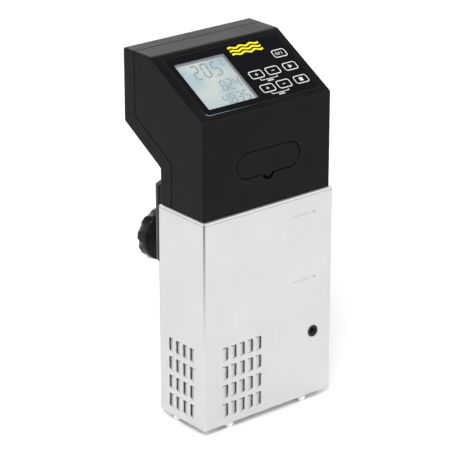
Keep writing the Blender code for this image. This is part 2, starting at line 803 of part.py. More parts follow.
def make_outlet():
    face, back = GROMMET_PROUD, -GROMMET_BACK
    profile = [
        (OUTLET_BORE + GROMMET_EDGE, face),
        (GROMMET_FLANGE - GROMMET_EDGE, face),
        (GROMMET_FLANGE, face - GROMMET_EDGE),
        (GROMMET_FLANGE, GAP),
        (GROMMET_NECK, GAP),
        (GROMMET_NECK, back),
        (OUTLET_BORE, back),
        (OUTLET_BORE, face - GROMMET_EDGE),
    ]
    grommet = turned("outlet_grommet", profile, RUBBER, steps=20, closed=True)
    grommet.location = (OUTLET_X, 0, OUTLET_Z)
    grommet.rotation_euler = (radians(90), 0, 0)


# ---------------------------------------------------------------- head


def head_outline():
    """The head from the side, as (Y, Z), anticlockwise."""
    rise = PANEL_START_HEIGHT + HEAD_FRONT * tan(PANEL_ANGLE)
    panel_end = (HEAD_TOP - PANEL_START_HEIGHT) / tan(PANEL_ANGLE)
    return [
        (HEAD_FRONT, HEAD_BOTTOM - TRIM),
        (HEAD_BACK, HEAD_BOTTOM - TRIM),
        (HEAD_BACK, BACK_KNEE_HEIGHT),
        (HEAD_REAR, REAR_KNEE_HEIGHT),
        (HEAD_REAR, HEAD_TOP),
        (panel_end, HEAD_TOP),
        (HEAD_FRONT, rise),
    ]


def seam_line(depth):
    """The parting line, parallel to the rear of the head, from below the head to above it."""
    line = inset(head_outline(), depth)[1:5]
    return [(line[0][0], BELOW_HEAD)] + [tuple(point) for point in line[1:3]] + [(line[3][0], ABOVE_HEAD)]


def new_head_half(name, material, other_half):
    half = HEAD_WIDTH / 2
    head = outline_solid(name, head_outline(), -half, half, material, ACROSS_X)
    bevel(head, HEAD_ROUNDING, 3, radians(20))
    cavity = [(y, z if z > HEAD_BOTTOM else BELOW_HEAD) for y, z in inset(head_outline(), WALL)]
    low, high = (-half - PAST, -PAST, BELOW_HEAD), (half + PAST, HEAD_REAR + PAST, HEAD_BOTTOM)
    return cut(
        head,
        outline_solid(f"{name}_cavity", cavity, WALL - half, half - WALL, None, ACROSS_X),
        box(f"{name}_trim", low, high, None),
        outline_solid(f"{name}_other_half", other_half, low[0], high[0], None, ACROSS_X),
    )


def cover_screw_places():
    return [(side * COVER_SCREW_X, height) for height in COVER_SCREW_HEIGHTS for side in (-1, 1)]


def make_front_housing():
    far = HEAD_REAR + PAST
    behind = seam_line(REAR_COVER_DEPTH + SEAM_HALF) + [(far, ABOVE_HEAD), (far, BELOW_HEAD)]
    housing = new_head_half("front_housing", BLACK_PLASTIC, behind)

    bosses, pilots = [], []
    for x, z in cover_screw_places():
        side = 1 if x > 0 else -1
        low_x, high_x = sorted((x - side * BOSS_HALF, side * (HEAD_WIDTH / 2 - WALL / 2)))
        bosses.append(((low_x, BOSS_FRONT, z - BOSS_HALF), (high_x, BOSS_BACK, z + BOSS_HALF)))
        pilots.append(((x, BOSS_FRONT + WALL, z), (x, BOSS_BACK + TRIM, z)))
    add(housing, boxes("screw_bosses", bosses))
    cut(housing, rods("boss_holes", pilots, COVER_SCREW.shank + GAP, segments=10))

    recess = rounded_rectangle(
        OVERLAY_LOW - Vector((GAP, GAP)), OVERLAY_HIGH + Vector((GAP, GAP)), OVERLAY_CORNER + GAP
    )
    floor = OVERLAY_TOP - OVERLAY_THICKNESS - GAP
    window = rounded_rectangle(WINDOW_LOW, WINDOW_HIGH, WINDOW_CORNER)
    cut(
        housing,
        outline_solid("overlay_recess", recess, floor, PAST, frame=panel),
        outline_solid("window_opening", window, -PAST, PAST, frame=panel),
        key_openings("housing_key_openings"),
    )

    hatch_hole = stadium(HATCH_CENTRE, HATCH_WIDTH + 2 * GAP, HATCH_HEIGHT + 2 * GAP)
    notch = (HATCH_CENTRE.x, HATCH_CENTRE.y - HATCH_HEIGHT / 2 + LIP_RISE)
    notch_floor = HEAD_FRONT + NOTCH_DEPTH
    cut(
        housing,
        outline_solid("hatch_opening", hatch_hole, -TRIM, TRIM, None, FACING_FRONT),
        rod("pry_notch", (notch[0], -TRIM, notch[1]), (notch[0], notch_floor, notch[1]), NOTCH_RADIUS, None, 20),
    )


def make_rear_housing():
    ahead = seam_line(REAR_COVER_DEPTH - SEAM_HALF) + [(-PAST, ABOVE_HEAD), (-PAST, BELOW_HEAD)]
    inside, outside = HEAD_REAR - TRIM, HEAD_REAR + TRIM
    housing = new_head_half("rear_housing", BLACK_PLASTIC, ahead[::-1])
    slots = []
    for i in range(AIR_SLOTS):
        x = AIR_SLOT_START + i * AIR_SLOT_PITCH
        slots.append(((x, inside, AIR_SLOT_LOW), (x + AIR_SLOT_WIDTH, outside, AIR_SLOT_HIGH)))
    reach = INLET_BODY / 2 + Vector((GAP, GAP))
    low, high = INLET_CENTRE - reach, INLET_CENTRE + reach
    slots.append(((low.x, inside, low.y), (high.x, outside, high.y)))
    cut(housing, boxes("rear_openings", slots))
    bm = bmesh.new()
    for x, z in cover_screw_places():
        add_rod(bm, (x, HEAD_REAR - COVER_SCREW_SINK, z), (x, outside, z), COVER_SCREW.head + GAP, segments=16)
    seats = mesh_object("screw_seats", bm, None)
    ends = [((x, inside, z), (x, outside, z)) for x, z in cover_screw_places()]
    cut(housing, seats, rods("cover_screw_holes", ends, COVER_SCREW.shank + GAP, segments=10))


def pan_screw(name, x, z, face, screw):
    """A screw that points forwards, its domed head resting on the face."""
    profile = [
        (0, screw.height),
        (screw.head * DOME_SHOULDER[0], screw.height * DOME_SHOULDER[1]),
        (screw.head, screw.height * DOME_SIDE),
        (screw.head, 0),
        (screw.shank, 0),
        (screw.shank, -screw.length),
        (0, -screw.length),
    ]
    obj = turned(name, profile, STEEL, steps=10)
    obj.location = (x, face, z)
    obj.rotation_euler = (radians(-90), 0, 0)
    thin, reach = screw.head * SLOT_HALF_WIDTH, screw.head * SLOT_REACH
    floor, outside = face + screw.height * (1 - SLOT_DEPTH), face + screw.height + TRIM
    cross = [
        ((x - reach, floor, z - thin), (x + reach, outside, z + thin)),
        ((x - thin, floor, z - reach), (x + thin, outside, z + reach)),
    ]
    for i, corners in enumerate(cross):
        cut(obj, boxes(f"{name}_slot_{i}", [corners]))


def make_screws():
    for i, (x, z) in enumerate(cover_screw_places(), 1):
        pan_screw(f"cover_screw_{i}", x, z, HEAD_REAR - COVER_SCREW_SINK + GAP, COVER_SCREW)
    for i, (x, z) in enumerate(panel_screw_places(), 1):
        pan_screw(f"panel_screw_{i}", x, z, BACK_FACE + GAP, PANEL_SCREW)
    for i, (x, z) in enumerate(bracket_screw_places(), 1):
        pan_screw(f"bracket_screw_{i}", x, z, BRACKET_INNER + BRACKET_SHEET + GAP, BRACKET_SCREW)


# ---------------------------------------------------------------- control panel


def key_openings(name):
    bm = bmesh.new()
    half = Vector((KEY_WIDTH / 2 + GAP, KEY_HEIGHT / 2 + GAP))
    outline = rounded_rectangle(-half, half, KEY_CORNER + GAP, 2)
    for x, y in KEY_PLACES.values():
        place = Matrix.Translation((x, y, -PAST)) @ Matrix.Diagonal((1, 1, 2 * PAST, 1))
        add_plate(bm, outline, place)
    bmesh.ops.recalc_face_normals(bm, faces=bm.faces)
    return mesh_object(name, bm, None, panel)


def make_overlay():
    outline = rounded_rectangle(OVERLAY_LOW, OVERLAY_HIGH, OVERLAY_CORNER, 4)
    overlay = outline_solid(
        "panel_overlay", outline, OVERLAY_TOP - OVERLAY_THICKNESS, OVERLAY_TOP, GLOSS_BLACK, frame=panel
    )
    window = rounded_rectangle(WINDOW_LOW, WINDOW_HIGH, WINDOW_CORNER)
    cut(overlay, outline_solid("overlay_window", window, -PAST, PAST, frame=panel), key_openings("overlay_key_openings"))


def make_display():
    border = Vector((GAP, GAP))
    outline = rounded_rectangle(WINDOW_LOW + border, WINDOW_HIGH - border, WINDOW_CORNER)
    outline_solid("display_window", outline, OVERLAY_TOP - WINDOW_THICKNESS, OVERLAY_TOP, CLEAR, frame=panel)
    margin = Vector((LCD_MARGIN, LCD_MARGIN))
    low, high = WINDOW_LOW - margin, WINDOW_HIGH + margin
    box("lcd_module", (*low, LCD_TOP - LCD_THICKNESS), (*high, LCD_TOP), LCD_GREY, panel)


def make_display_board():
    low = (OVERLAY_LOW.x + BOARD_MARGIN, OVERLAY_LOW.y + BOARD_MARGIN, BOARD_TOP - BOARD_THICKNESS)
    high = (OVERLAY_HIGH.x - BOARD_MARGIN, OVERLAY_HIGH.y - BOARD_MARGIN, BOARD_TOP)
    board = box("display_board", low, high, BOARD_GREEN, panel)
    half = SWITCH_SIDE / 2
    switches = []
    for x, y in KEY_PLACES.values():
        switches.append(((x - half, y - half, BOARD_TOP - GAP), (x + half, y + half, BOARD_TOP + SWITCH_HEIGHT)))
    add(board, boxes("key_switches", switches, frame=panel))


def make_keys():
    half = Vector((KEY_WIDTH / 2, KEY_HEIGHT / 2))
    outline = rounded_rectangle(-half, half, KEY_CORNER, 2)
    for name, (x, y) in KEY_PLACES.items():
        key = outline_solid(name, outline, -WALL, OVERLAY_TOP, GLOSS_BLACK, frame=panel)
        key.location = (x, y, 0)
        stem = rod(f"{name}_stem", (x, y, KEY_STEM_END), (x, y, -WALL / 2), KEY_STEM_RADIUS, None, 8, panel)
        add(key, stem)


# ---------------------------------------------------------------- service hatch


def make_hatch():
    outline = stadium(HATCH_CENTRE, HATCH_WIDTH, HATCH_HEIGHT)
    back = -(HEAD_FRONT + HATCH_THICKNESS)
    hatch = outline_solid("service_hatch", outline, back, -HEAD_FRONT, BLACK_PLASTIC, FACING_FRONT)
    bevel(hatch, 0.0004, 1, radians(60))
    lip_height = HATCH_CENTRE.y - HATCH_HEIGHT / 2 + LIP_RISE
    start = (HATCH_CENTRE.x, HEAD_FRONT + GAP / 3, lip_height)
    end = (HATCH_CENTRE.x, HEAD_FRONT + LIP_THICKNESS, lip_height)
    add(hatch, rod("hatch_lip", start, end, LIP_RADIUS, None, 16))

    outer = stadium(HATCH_CENTRE, HATCH_WIDTH + 2 * TRAY_MARGIN, HATCH_HEIGHT + 2 * TRAY_MARGIN, 8)
    inner_width = HATCH_WIDTH + 2 * (TRAY_MARGIN - TRAY_WALL)
    inner = stadium(HATCH_CENTRE, inner_width, HATCH_HEIGHT + 2 * (TRAY_MARGIN - TRAY_WALL), 8)
    front = -(HEAD_FRONT + WALL + GAP)
    floor = front - TRAY_DEPTH + TRAY_WALL
    tray = outline_solid("service_tray", outer, front - TRAY_DEPTH, front, DARK_PLASTIC, FACING_FRONT)
    x, z = RESET_CENTRE
    cut(
        tray,
        outline_solid("tray_inside", inner, floor, 0, None, FACING_FRONT),
        rod("reset_hole", (x, 0, z), (x, 2 * PAST, z), RESET_RADIUS + GAP, None, 20),
    )
    button = rod("reset_button", (x, RESET_FRONT, z), (x, RESET_BACK, z), RESET_RADIUS, RED_PLASTIC, 20)
    put_origin(button, (x, RESET_FRONT, z))
    bevel(button, 0.0004, 1)
    reach = CUTOUT_SIDE / 2
    low, high = (x - reach, CUTOUT_FRONT, z - reach), (x + reach, CUTOUT_FRONT + CUTOUT_DEPTH, z + reach)
    bevel(box("overheat_cutout", low, high, DARK_PLASTIC), 0.001, 1)


# ---------------------------------------------------------------- electronics and mains inlet


def make_electronics():
    box("control_board", *CONTROL_BOARD, BOARD_GREEN)
    bevel(box("transformer", *TRANSFORMER, DARK_PLASTIC), SHEET, 1)
    (left, front, bottom), (right, back, top) = HEAT_SINK
    comb = [(right, bottom), (right, top)]
    pitch = (right - left) / (2 * HEAT_SINK_FINS - 1)
    for i in range(1, 2 * HEAT_SINK_FINS - 1):
        x = right - i * pitch
        heights = (bottom + HEAT_SINK_BASE, top)
        up, down = heights if i % 2 == 0 else heights[::-1]
        comb += [(x, up), (x, down)]
    comb += [(left, top), (left, bottom)]
    outline_solid("heat_sink", comb, -back, -front, ALUMINIUM, FACING_FRONT)


def make_inlet():
    face = HEAD_REAR + GAP + INLET_FLANGE_THICKNESS
    flange = INLET_FLANGE / 2
    outline = rounded_rectangle(INLET_CENTRE - flange, INLET_CENTRE + flange, INLET_CORNER, 2)
    inlet = outline_solid("power_inlet", outline, -face, -(HEAD_REAR + GAP), DARK_PLASTIC, FACING_FRONT)
    reach = INLET_BODY / 2
    low, high = INLET_CENTRE - reach, INLET_CENTRE + reach
    back = face - INLET_BODY_DEPTH
    add(inlet, box("inlet_body", (low.x, back, low.y), (high.x, face - SHEET, high.y), None))
    recess = INLET_RECESS / 2
    low, high = INLET_CENTRE - recess, INLET_CENTRE + recess
    floor = face - INLET_RECESS_DEPTH
    cut(inlet, box("inlet_recess", (low.x, floor, low.y), (high.x, face + PAST, high.y), None))
    pins = []
    for pin in INLET_PINS:
        low, high = INLET_CENTRE + Vector(pin) - INLET_PIN, INLET_CENTRE + Vector(pin) + INLET_PIN
        pins.append(((low.x, floor - SHEET, low.y), (high.x, face - INLET_PIN_SET_BACK, high.y)))
    add(inlet, boxes("inlet_pins", pins))


# ---------------------------------------------------------------- clamp


def bracket_outline():
    """The bent sheet from the side, as (Y, Z): short leg, top arm, sloping shoulder, long leg."""
    sheet, bend = BRACKET_SHEET, BRACKET_BEND
    inner, outer, top = BRACKET_INNER, BRACKET_OUTER, BRACKET_TOP
    fall_start, fall_end = BRACKET_SHOULDER
    narrowing = sheet * tan(pi / 8)
    points = [(outer, BRACKET_BOTTOM), (outer, fall_end), (fall_start, top)]
    points += arc((inner + bend, top - bend), bend, 90, 180, 4)
    points += [(inner, BRACKET_LEG_BOTTOM), (inner + sheet, BRACKET_LEG_BOTTOM)]
    points += arc((inner + bend, top - bend), bend - sheet, 180, 90, 4)
    points += [(fall_start - narrowing, top - sheet), (outer - sheet, fall_end - narrowing), (outer - sheet, BRACKET_BOTTOM)]
    return points


def make_bracket():
    half = BRACKET_HALF_WIDTH
    bracket = outline_solid("clamp_bracket", bracket_outline(), -half, half, PAINTED_STEEL, ACROSS_X)
    narrow, taper = BRACKET_TAPER
    wide, low, high = half + SHEET, BRACKET_BOTTOM - SHEET, BRACKET_TOP + PAST
    slope = (half - narrow) / (taper - BRACKET_BOTTOM)
    keep = [(narrow - slope * SHEET, low), (wide, taper + SHEET / slope), (wide, high)]
    keep += [(-x, z) for x, z in reversed(keep)]
    boolean(bracket, outline_solid("bracket_sides", keep, -BRACKET_OUTER - PAST, -BRACKET_INNER + PAST, None, FACING_FRONT), "INTERSECT")
    near, far = BRACKET_OUTER - PAST, BRACKET_OUTER + PAST
    hole = rod("screw_hole", (0, near, CLAMP_HEIGHT), (0, far, CLAMP_HEIGHT), CLAMP_SCREW_RADIUS + GAP, None, 24)
    ends = [((x, BRACKET_INNER - PAST, z), (x, BRACKET_INNER + PAST, z)) for x, z in bracket_screw_places()]
    cut(bracket, hole, rods("bracket_screw_holes", ends, BRACKET_SCREW.shank + GAP, segments=10))


def make_clamp():
    width, depth, height = JAW_PAD_SIZE
    jaw_low = (-width / 2, BRACKET_INNER, CLAMP_HEIGHT - height / 2)
    jaw_high = (width / 2, BRACKET_INNER + depth, CLAMP_HEIGHT + height / 2)
    bevel(box("jaw_pad", jaw_low, jaw_high, RUBBER), PAD_SHOULDER, 1)

    bore = CLAMP_SCREW_RADIUS + GAP
    low, high = BRACKET_OUTER + GAP, BRACKET_OUTER + GAP + NUT_THICKNESS
    nut = rod("clamp_nut", (0, low, CLAMP_HEIGHT), (0, high, CLAMP_HEIGHT), NUT_RADIUS, STEEL, 6)
    cut(nut, rod("nut_bore", (0, low - TRIM, CLAMP_HEIGHT), (0, high + TRIM, CLAMP_HEIGHT), bore, None, 20))

    socket = PAD_BACK - CLAMP_SCREW_START + GAP
    thickness = PAD_BACK - PAD_FRONT
    profile = [
        (0, thickness - socket),
        (bore, thickness - socket),
        (bore, thickness),
        (PAD_CROWN, thickness),
        (PAD_RADIUS - PAD_SHOULDER, thickness / 2),
        (PAD_RADIUS, thickness / 2 - PAD_SHOULDER),
        (PAD_RADIUS, PAD_EDGE),
        (PAD_RADIUS - PAD_EDGE, 0),
        (0, 0),
    ]
    pad = turned("pressure_pad", profile, RUBBER, 20)
    pad.location = (0, PAD_FRONT, CLAMP_HEIGHT)
    pad.rotation_euler = (radians(-90), 0, 0)

    start, end = (0, CLAMP_SCREW_START, CLAMP_HEIGHT), (0, CLAMP_SCREW_END, CLAMP_HEIGHT)
    screw = rod("clamp_screw", start, end, CLAMP_SCREW_RADIUS, STEEL, 20)
    put_origin(screw, start)
    bevel(screw, SCREW_CHAMFER, 1)


def make_knob():
    thickness = KNOB_BACK - KNOB_FRONT
    dish, dish_rim, dish_depth = KNOB_DISH
    crown, fall, rounding = KNOB_EDGE
    profile = [
        (0, thickness - dish_depth),
        (dish, thickness - dish_depth),
        (dish_rim, thickness),
        (crown, thickness - fall),
        (KNOB_RADIUS, thickness - rounding),
        (KNOB_FACE_RADIUS, 0),
        (KNOB_HUB_RADIUS, 0),
        (KNOB_HUB_RADIUS, -KNOB_HUB_LENGTH),
        (0, -KNOB_HUB_LENGTH),
    ]
    knob = turned("clamp_knob", profile, BLACK_PLASTIC, 28)
    knob.location = (0, KNOB_FRONT, CLAMP_HEIGHT)
    knob.rotation_euler = (radians(-90), 0, 0)
    start = Vector((0, KNOB_FRONT + SCOOP_START, CLAMP_HEIGHT))
    step = Vector((0, KNOB_BACK, CLAMP_HEIGHT)) - start
    scoops = []
    for i in range(KNOB_SCOOPS):
        angle = KNOB_PHASE + 2 * pi * i / KNOB_SCOOPS
        out = Vector((cos(angle), 0, sin(angle)))
        near = start + out * (KNOB_RADIUS + SCOOP_RADIUS)
        run = step - out * SCOOP_DEPTH
        scoops.append((near - run / 2, near + run * 2))
    bore_start = (0, KNOB_FRONT - PAST, CLAMP_HEIGHT)
    bore_end = (0, CLAMP_SCREW_END + GAP, CLAMP_HEIGHT)
    cut(
        knob,
        rods("knob_scoops", scoops, SCOOP_RADIUS, segments=14),
        rod("knob_bore", bore_start, bore_end, CLAMP_SCREW_RADIUS + GAP, None, 20),
    )


# ---------------------------------------------------------------- the whole object

clear_scene()
parts = new_collection("sous_vide_circulator")
tools = new_collection("cutters")

STEEL = new_material("brushed_steel", (0.72, 0.71, 0.70), 0.35, 1.0)
ALUMINIUM = new_material("aluminium", (0.60, 0.60, 0.61), 0.40, 1.0)
BRASS = new_material("brass", (0.55, 0.40, 0.16), 0.35, 1.0)
BLACK_PLASTIC = new_material("black_plastic", (0.016, 0.016, 0.017), 0.45)
DARK_PLASTIC = new_material("dark_plastic", (0.03, 0.03, 0.03), 0.55)
RED_PLASTIC = new_material("red_plastic", (0.45, 0.02, 0.02), 0.40)
GLOSS_BLACK = new_material("gloss_black", (0.008, 0.008, 0.010), 0.12)
CLEAR = new_material("clear", (0.85, 0.90, 0.92), 0.05)
LCD_GREY = new_material("lcd", (0.50, 0.62, 0.62), 0.30)
BOARD_GREEN = new_material("circuit_board", (0.03, 0.15, 0.06), 0.50)
RUBBER = new_material("rubber", (0.02, 0.02, 0.02), 0.80)
SILICONE = new_material("silicone", (0.75, 0.75, 0.73), 0.45)
PAINTED_STEEL = new_material("painted_steel", (0.10, 0.10, 0.105), 0.45, 0.3)

body = new_empty("circulator", FRAME_ORIGIN)
panel = new_empty("panel_frame", (0, 0, PANEL_START_HEIGHT), (PANEL_ANGLE, 0, 0), body)

make_skirt()
make_back_panel()
make_base_plate()
make_feet()
make_deck()
make_pump()
make_motor()
make_heater()
make_probes()
make_outlet()
make_front_housing()
make_rear_housing()
make_screws()
make_overlay()
make_display()
make_display_board()
make_keys()
make_hatch()
make_electronics()
make_inlet()
make_bracket()
make_clamp()
make_knob()
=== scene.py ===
"""Looks of a clamp-on sous vide circulator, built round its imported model.

Metres, +Z up, front towards -Y. Shapes are drawn in the body frame, which has the front of the skirt at Y = 0
and its bottom edge at Z = 0, or in the panel frame: x across, y up the slope, z out of it.
"""

import json
from math import atan2, cos, pi, radians, sin, tan

import bmesh
import bpy
from mathutils import Matrix, Vector


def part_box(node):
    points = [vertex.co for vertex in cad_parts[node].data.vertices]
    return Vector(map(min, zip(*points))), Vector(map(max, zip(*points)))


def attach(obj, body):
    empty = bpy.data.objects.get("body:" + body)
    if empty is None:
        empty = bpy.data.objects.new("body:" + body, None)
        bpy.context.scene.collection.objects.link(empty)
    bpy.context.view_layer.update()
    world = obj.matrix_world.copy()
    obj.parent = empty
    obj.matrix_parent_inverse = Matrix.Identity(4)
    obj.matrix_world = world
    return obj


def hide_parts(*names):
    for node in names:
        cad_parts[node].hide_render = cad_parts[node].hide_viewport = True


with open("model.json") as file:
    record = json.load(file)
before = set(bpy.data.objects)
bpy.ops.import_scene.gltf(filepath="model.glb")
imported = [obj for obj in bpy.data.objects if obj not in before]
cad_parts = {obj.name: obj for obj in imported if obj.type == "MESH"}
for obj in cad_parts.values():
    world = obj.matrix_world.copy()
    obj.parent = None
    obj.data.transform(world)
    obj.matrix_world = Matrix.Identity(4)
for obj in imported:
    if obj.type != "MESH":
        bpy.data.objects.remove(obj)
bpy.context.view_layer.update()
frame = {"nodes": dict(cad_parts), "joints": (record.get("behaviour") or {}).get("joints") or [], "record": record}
nodes = frame["nodes"]
node_slots = {part["node"]: part["material_slot"] for part in frame["record"]["subparts"]}

X_AXIS = Vector((1, 0, 0))
Y_AXIS = Vector((0, 1, 0))
Z_AXIS = Vector((0, 0, 1))
FACING_FRONT = Matrix.Rotation(radians(90), 4, "X")
ACROSS_X = Matrix(((0, 0, 1, 0), (1, 0, 0, 0), (0, 1, 0, 0), (0, 0, 0, 1)))

# The two frames that shapes are drawn in.
skirt_low, skirt_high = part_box("steel_skirt")
BODY = Matrix.Translation((0, skirt_low.y, skirt_low.z))
PANEL_START_HEIGHT = 0.2616
press_axis = next(Vector(joint["axis"]) for joint in frame["joints"] if joint["name"] == "press_power")
PANEL_ANGLE = atan2(press_axis.y, -press_axis.z)
PANEL = BODY @ Matrix.Translation((0, 0, PANEL_START_HEIGHT)) @ Matrix.Rotation(PANEL_ANGLE, 4, "X")

# Skirt.
SKIRT_WIDTH = skirt_high.x - skirt_low.x
SKIRT_DEPTH = skirt_high.y - skirt_low.y
SKIRT_HEIGHT = skirt_high.z - skirt_low.z
SHEET = 0.001
FLANGE = 0.007
EDGE_RADIUS = 0.0015
GAP = 0.0003
FOLD_SHADE = (0.0009, 0.0017)
FOLD_SHADE_HEIGHTS = (0.07, 0.185)
GROOVE_DROP = 0.0022
GROOVE_WIDTH = 0.0005
GROOVE_DEPTH = 0.0006
LOUVRE_ROWS = 4
LOUVRE_BOTTOM = 0.0076
LOUVRE_ROW_PITCH = 0.0166
LOUVRE_HEIGHT = 0.012
LOUVRE_WIDTH = 0.0058
LOUVRE_ANGLE = radians(20)
LOUVRE_CORNER = 0.0016
LOUVRE_BEND = 0.0022
LOUVRE_END = 0.0008
LOUVRE_TOP_GAP = 0.0010
LOUVRE_SKIN = 0.00002  # how far a tab stays inside the sheet's faces
FRONT_LOUVRE_COLUMNS = 5
FRONT_LOUVRE_START = -0.0483
FRONT_LOUVRE_PITCH = 0.0087
SIDE_LOUVRE_COLUMNS = 4
SIDE_LOUVRE_START = 0.0133
SIDE_LOUVRE_PITCH = 0.00905
LEVEL_MARKS = {"max": (0.0243, 0.0428, 0.1642), "min": (0.0254, 0.0438, 0.1066)}
MARK_HALF = 0.0003
MARK_SINK, MARK_PROUD = 0.00002, 0.00003
ARROW_GAP, ARROW_LENGTH, ARROW_HALF = 0.0022, 0.0034, 0.0016
FEET = range(1, 7)
FOOT_STEM = 0.0015
FOOT_HOLE = 0.0019
FOOT_TOP_EDGE = 0.0004
FOOT_TOP_ROUNDING = 0.0006
FOOT_ROUNDING = 0.0022
FOOT_SIDE = 0.0020
FOOT_FLAT = 0.0020

# How far cutters reach past what they cut.
CUT_NEAR = 0.01
CUT_FRONT = 0.005
CUT_SEAT = 0.004
CUT_SIDE = 0.1
CUT_FAR = 0.2
CUT_LOW, CUT_HIGH = 0.15, 0.35
REAR_WALL_CUT = (0.095, 0.11)

# Head.
HEAD_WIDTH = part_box("front_housing")[1].x * 2
HEAD_FRONT = 0.0022
HEAD_BACK = 0.0578
HEAD_REAR = 0.1042
HEAD_BOTTOM = SKIRT_HEIGHT + GAP
HEAD_TOP = 0.3004
REAR_KNEE_HEIGHT = 0.2388
BACK_KNEE_HEIGHT = 0.2110
HEAD_ROUNDING = 0.00195
WALL = 0.0022
REAR_COVER_DEPTH = 0.0148
SEAM_HALF = 0.00045
TRIM = 0.006

# Control panel, in the panel frame.
OVERLAY_LOW = Vector((-0.0578, 0.0085))
OVERLAY_HIGH = Vector((0.0590, 0.0737))
OVERLAY_CORNER = 0.003
OVERLAY_TOP = -0.0003
OVERLAY_THICKNESS = 0.0008
WINDOW_LOW = Vector((-0.0515, 0.0146))
WINDOW_HIGH = Vector((-0.0011, 0.0656))
WINDOW_CORNER = 0.0008
WINDOW_THICKNESS = 0.001
LCD_TOP = -WALL - GAP
# Widths of the painted shade along the display's sides and top.
DISPLAY_BORDER = Vector((0.0009, 0.0015))
KEY_WIDTH = 0.0144
KEY_HEIGHT = 0.0093
KEY_CORNER = 0.0028
KEY_STEM_RADIUS = 0.002
KEY_STEM_END = -0.0056
KEY_PLACES = {
    "key_power": (0.0476, 0.0521),
    "key_start": (0.0477, 0.0368),
    "key_stop": (0.0479, 0.0214),
    "key_temp_up": (0.0124, 0.0367),
    "key_temp_down": (0.0295, 0.0368),
    "key_time_up": (0.0127, 0.0210),
    "key_time_down": (0.0297, 0.0212),
}
INK = 0.00004
KEY_LINE = 0.0009
KEY_LINE_INSET = 0.0003
FILM_ROUNDING = 0.00025
WINDOW_ROUNDING = 0.0001
KEY_ROUNDING = 0.0002
# Widths of the painted highlights along the film's edge: the faint line all round and the glint at the lower left.
EDGE_LINE = (Vector((0.00025, 0.00025)), Vector((0.0006, 0.0006)))
GLINT_LINE = (Vector((0.0003, 0.0003)), Vector((0.00075, 0.00075)))
GLINT_END = -0.012
PAIR_LINE = 0.0006
PAIR_DROP = 0.0020
PAIR_CLEARANCE = 0.0002
TAB_HALF_WIDTH = 0.0030
TAB_TOP, TAB_BOTTOM = 0.0006, 0.0023
WAVE_LEFT, WAVE_RIGHT = 0.0054, 0.0370
WAVE_ROWS = 3
WAVE_CRESTS = 3
WAVE_BOTTOM = 0.0614
WAVE_PITCH = 0.0036
WAVE_STROKE = 0.0020
WAVE_SWING = 0.0008
WAVE_STEPS = 48

# Service hatch.
HATCH_CENTRE = Vector((0.0002, 0.2184))
HATCH_WIDTH = 0.0642
HATCH_HEIGHT = 0.021
HATCH_THICKNESS = 0.002
HATCH_CLEARANCE = 0.0007
HATCH_ROUNDING = 0.0007
NOTCH_RADIUS = 0.0060
NOTCH_DEPTH = 0.0030
LIP_RADIUS = 0.0034
LIP_THICKNESS = 0.001
LIP_RISE = 0.0006
LIP_SINK = 0.0001

# Outlet.
OUTLET_X = 0.0476
OUTLET_Z = 0.0577
OUTLET_BORE = 0.0035
GROMMET_FLANGE = 0.0051
GROMMET_NECK = 0.0044
GROMMET_PROUD = 0.0008
GROMMET_BACK = 0.0045
GROMMET_INNER_ROUNDING = 0.0006
GROMMET_OUTER_ROUNDING = 0.0005
OUTLET_CUT = 0.004
LINER_WALL = 0.0004

# Clamp.
CLAMP_HEIGHT = 0.1128
BACK_FACE = 0.0582
BRACKET_HALF_WIDTH = 0.038
BRACKET_SHEET = 0.003
BRACKET_INNER = BACK_FACE + GAP
BRACKET_OUTER = 0.100
BRACKET_TOP = 0.184
BRACKET_SHOULDER = (0.0945, 0.1795)
BRACKET_LEG_BOTTOM = 0.145
BRACKET_BOTTOM = 0.0935
BRACKET_BEND = 0.005
BRACKET_TAPER = (0.0230, 0.113)
BRACKET_ROUNDING = 0.0004
BRACKET_SCREW_HOLE = 0.0019
SHORT_LEG_CUT = (0.05, 0.07)
LONG_LEG_CUT = (0.08, 0.11)
CLAMP_SCREW_RADIUS = 0.0047
CLAMP_SCREW_START = 0.0898
CLAMP_SCREW_END = 0.1416
THREAD_PITCH = 0.002
THREAD_DEPTH = 0.0008
THREAD_PLAIN_END = 0.0012
THREAD_SIDES, THREAD_RINGS = 40, 200
NUT_RADIUS = 0.010
NUT_THICKNESS = 0.004
NUT_FACE_RADIUS = 0.0086
NUT_CONE_RADIUS = 0.0104
NUT_CONE_START, NUT_CONE_RISE, NUT_CONE_FALL = -0.001, 0.0004, 0.0006
PAD_RADIUS = 0.014
PAD_FRONT = 0.0865
PAD_BACK = 0.0925
PAD_FACE_INSET = 0.0012
PAD_ROUNDING = 0.0008
PAD_RIM = 0.0018
PAD_SHOULDER = (0.001, 0.003)
PAD_NECK_RADIUS = 0.0088
PAD_NECK_CHAMFER = (0.0006, 0.0002)
PAD_GROOVES = (0.0045, 0.008, 0.0112)
PAD_GROOVE_WIDTH, PAD_GROOVE_DEPTH = 0.0006, 0.0004
JAW_ROUNDING = 0.0008
JAW_RIBS = 8
JAW_GROOVE_HALF, JAW_GROOVE_DEPTH, JAW_GROOVE_CUT = 0.0006, 0.0007, 0.001
KNOB_FRONT = 0.136
KNOB_BACK = 0.148
KNOB_RADIUS = 0.0235
KNOB_FACE_RADIUS = 0.0219
KNOB_HUB_RADIUS = 0.008
KNOB_HUB_LENGTH = 0.0055
KNOB_DISH = 0.0008
KNOB_BACK_EDGE = ((0.0088, KNOB_DISH), (0.0096, 0), (0.0196, 0.0004), (0.0218, 0.0012))  # radius, depth
KNOB_SIDE_EDGE = ((0.0005, 0.0024), (0, 0.0036))  # inset from the radius, depth
KNOB_FACE_EDGE = ((0.0004, 0.0014), (0.0002, 0.0005), (-0.0004, 0))  # past the face radius, depth
KNOB_ROUNDING = 0.0009
KNOB_SCOOPS = 10
KNOB_PHASE = radians(10)
SCOOP_RADIUS = 0.0062
SCOOP_START = 0.0040
SCOOP_DEPTH = 0.0030

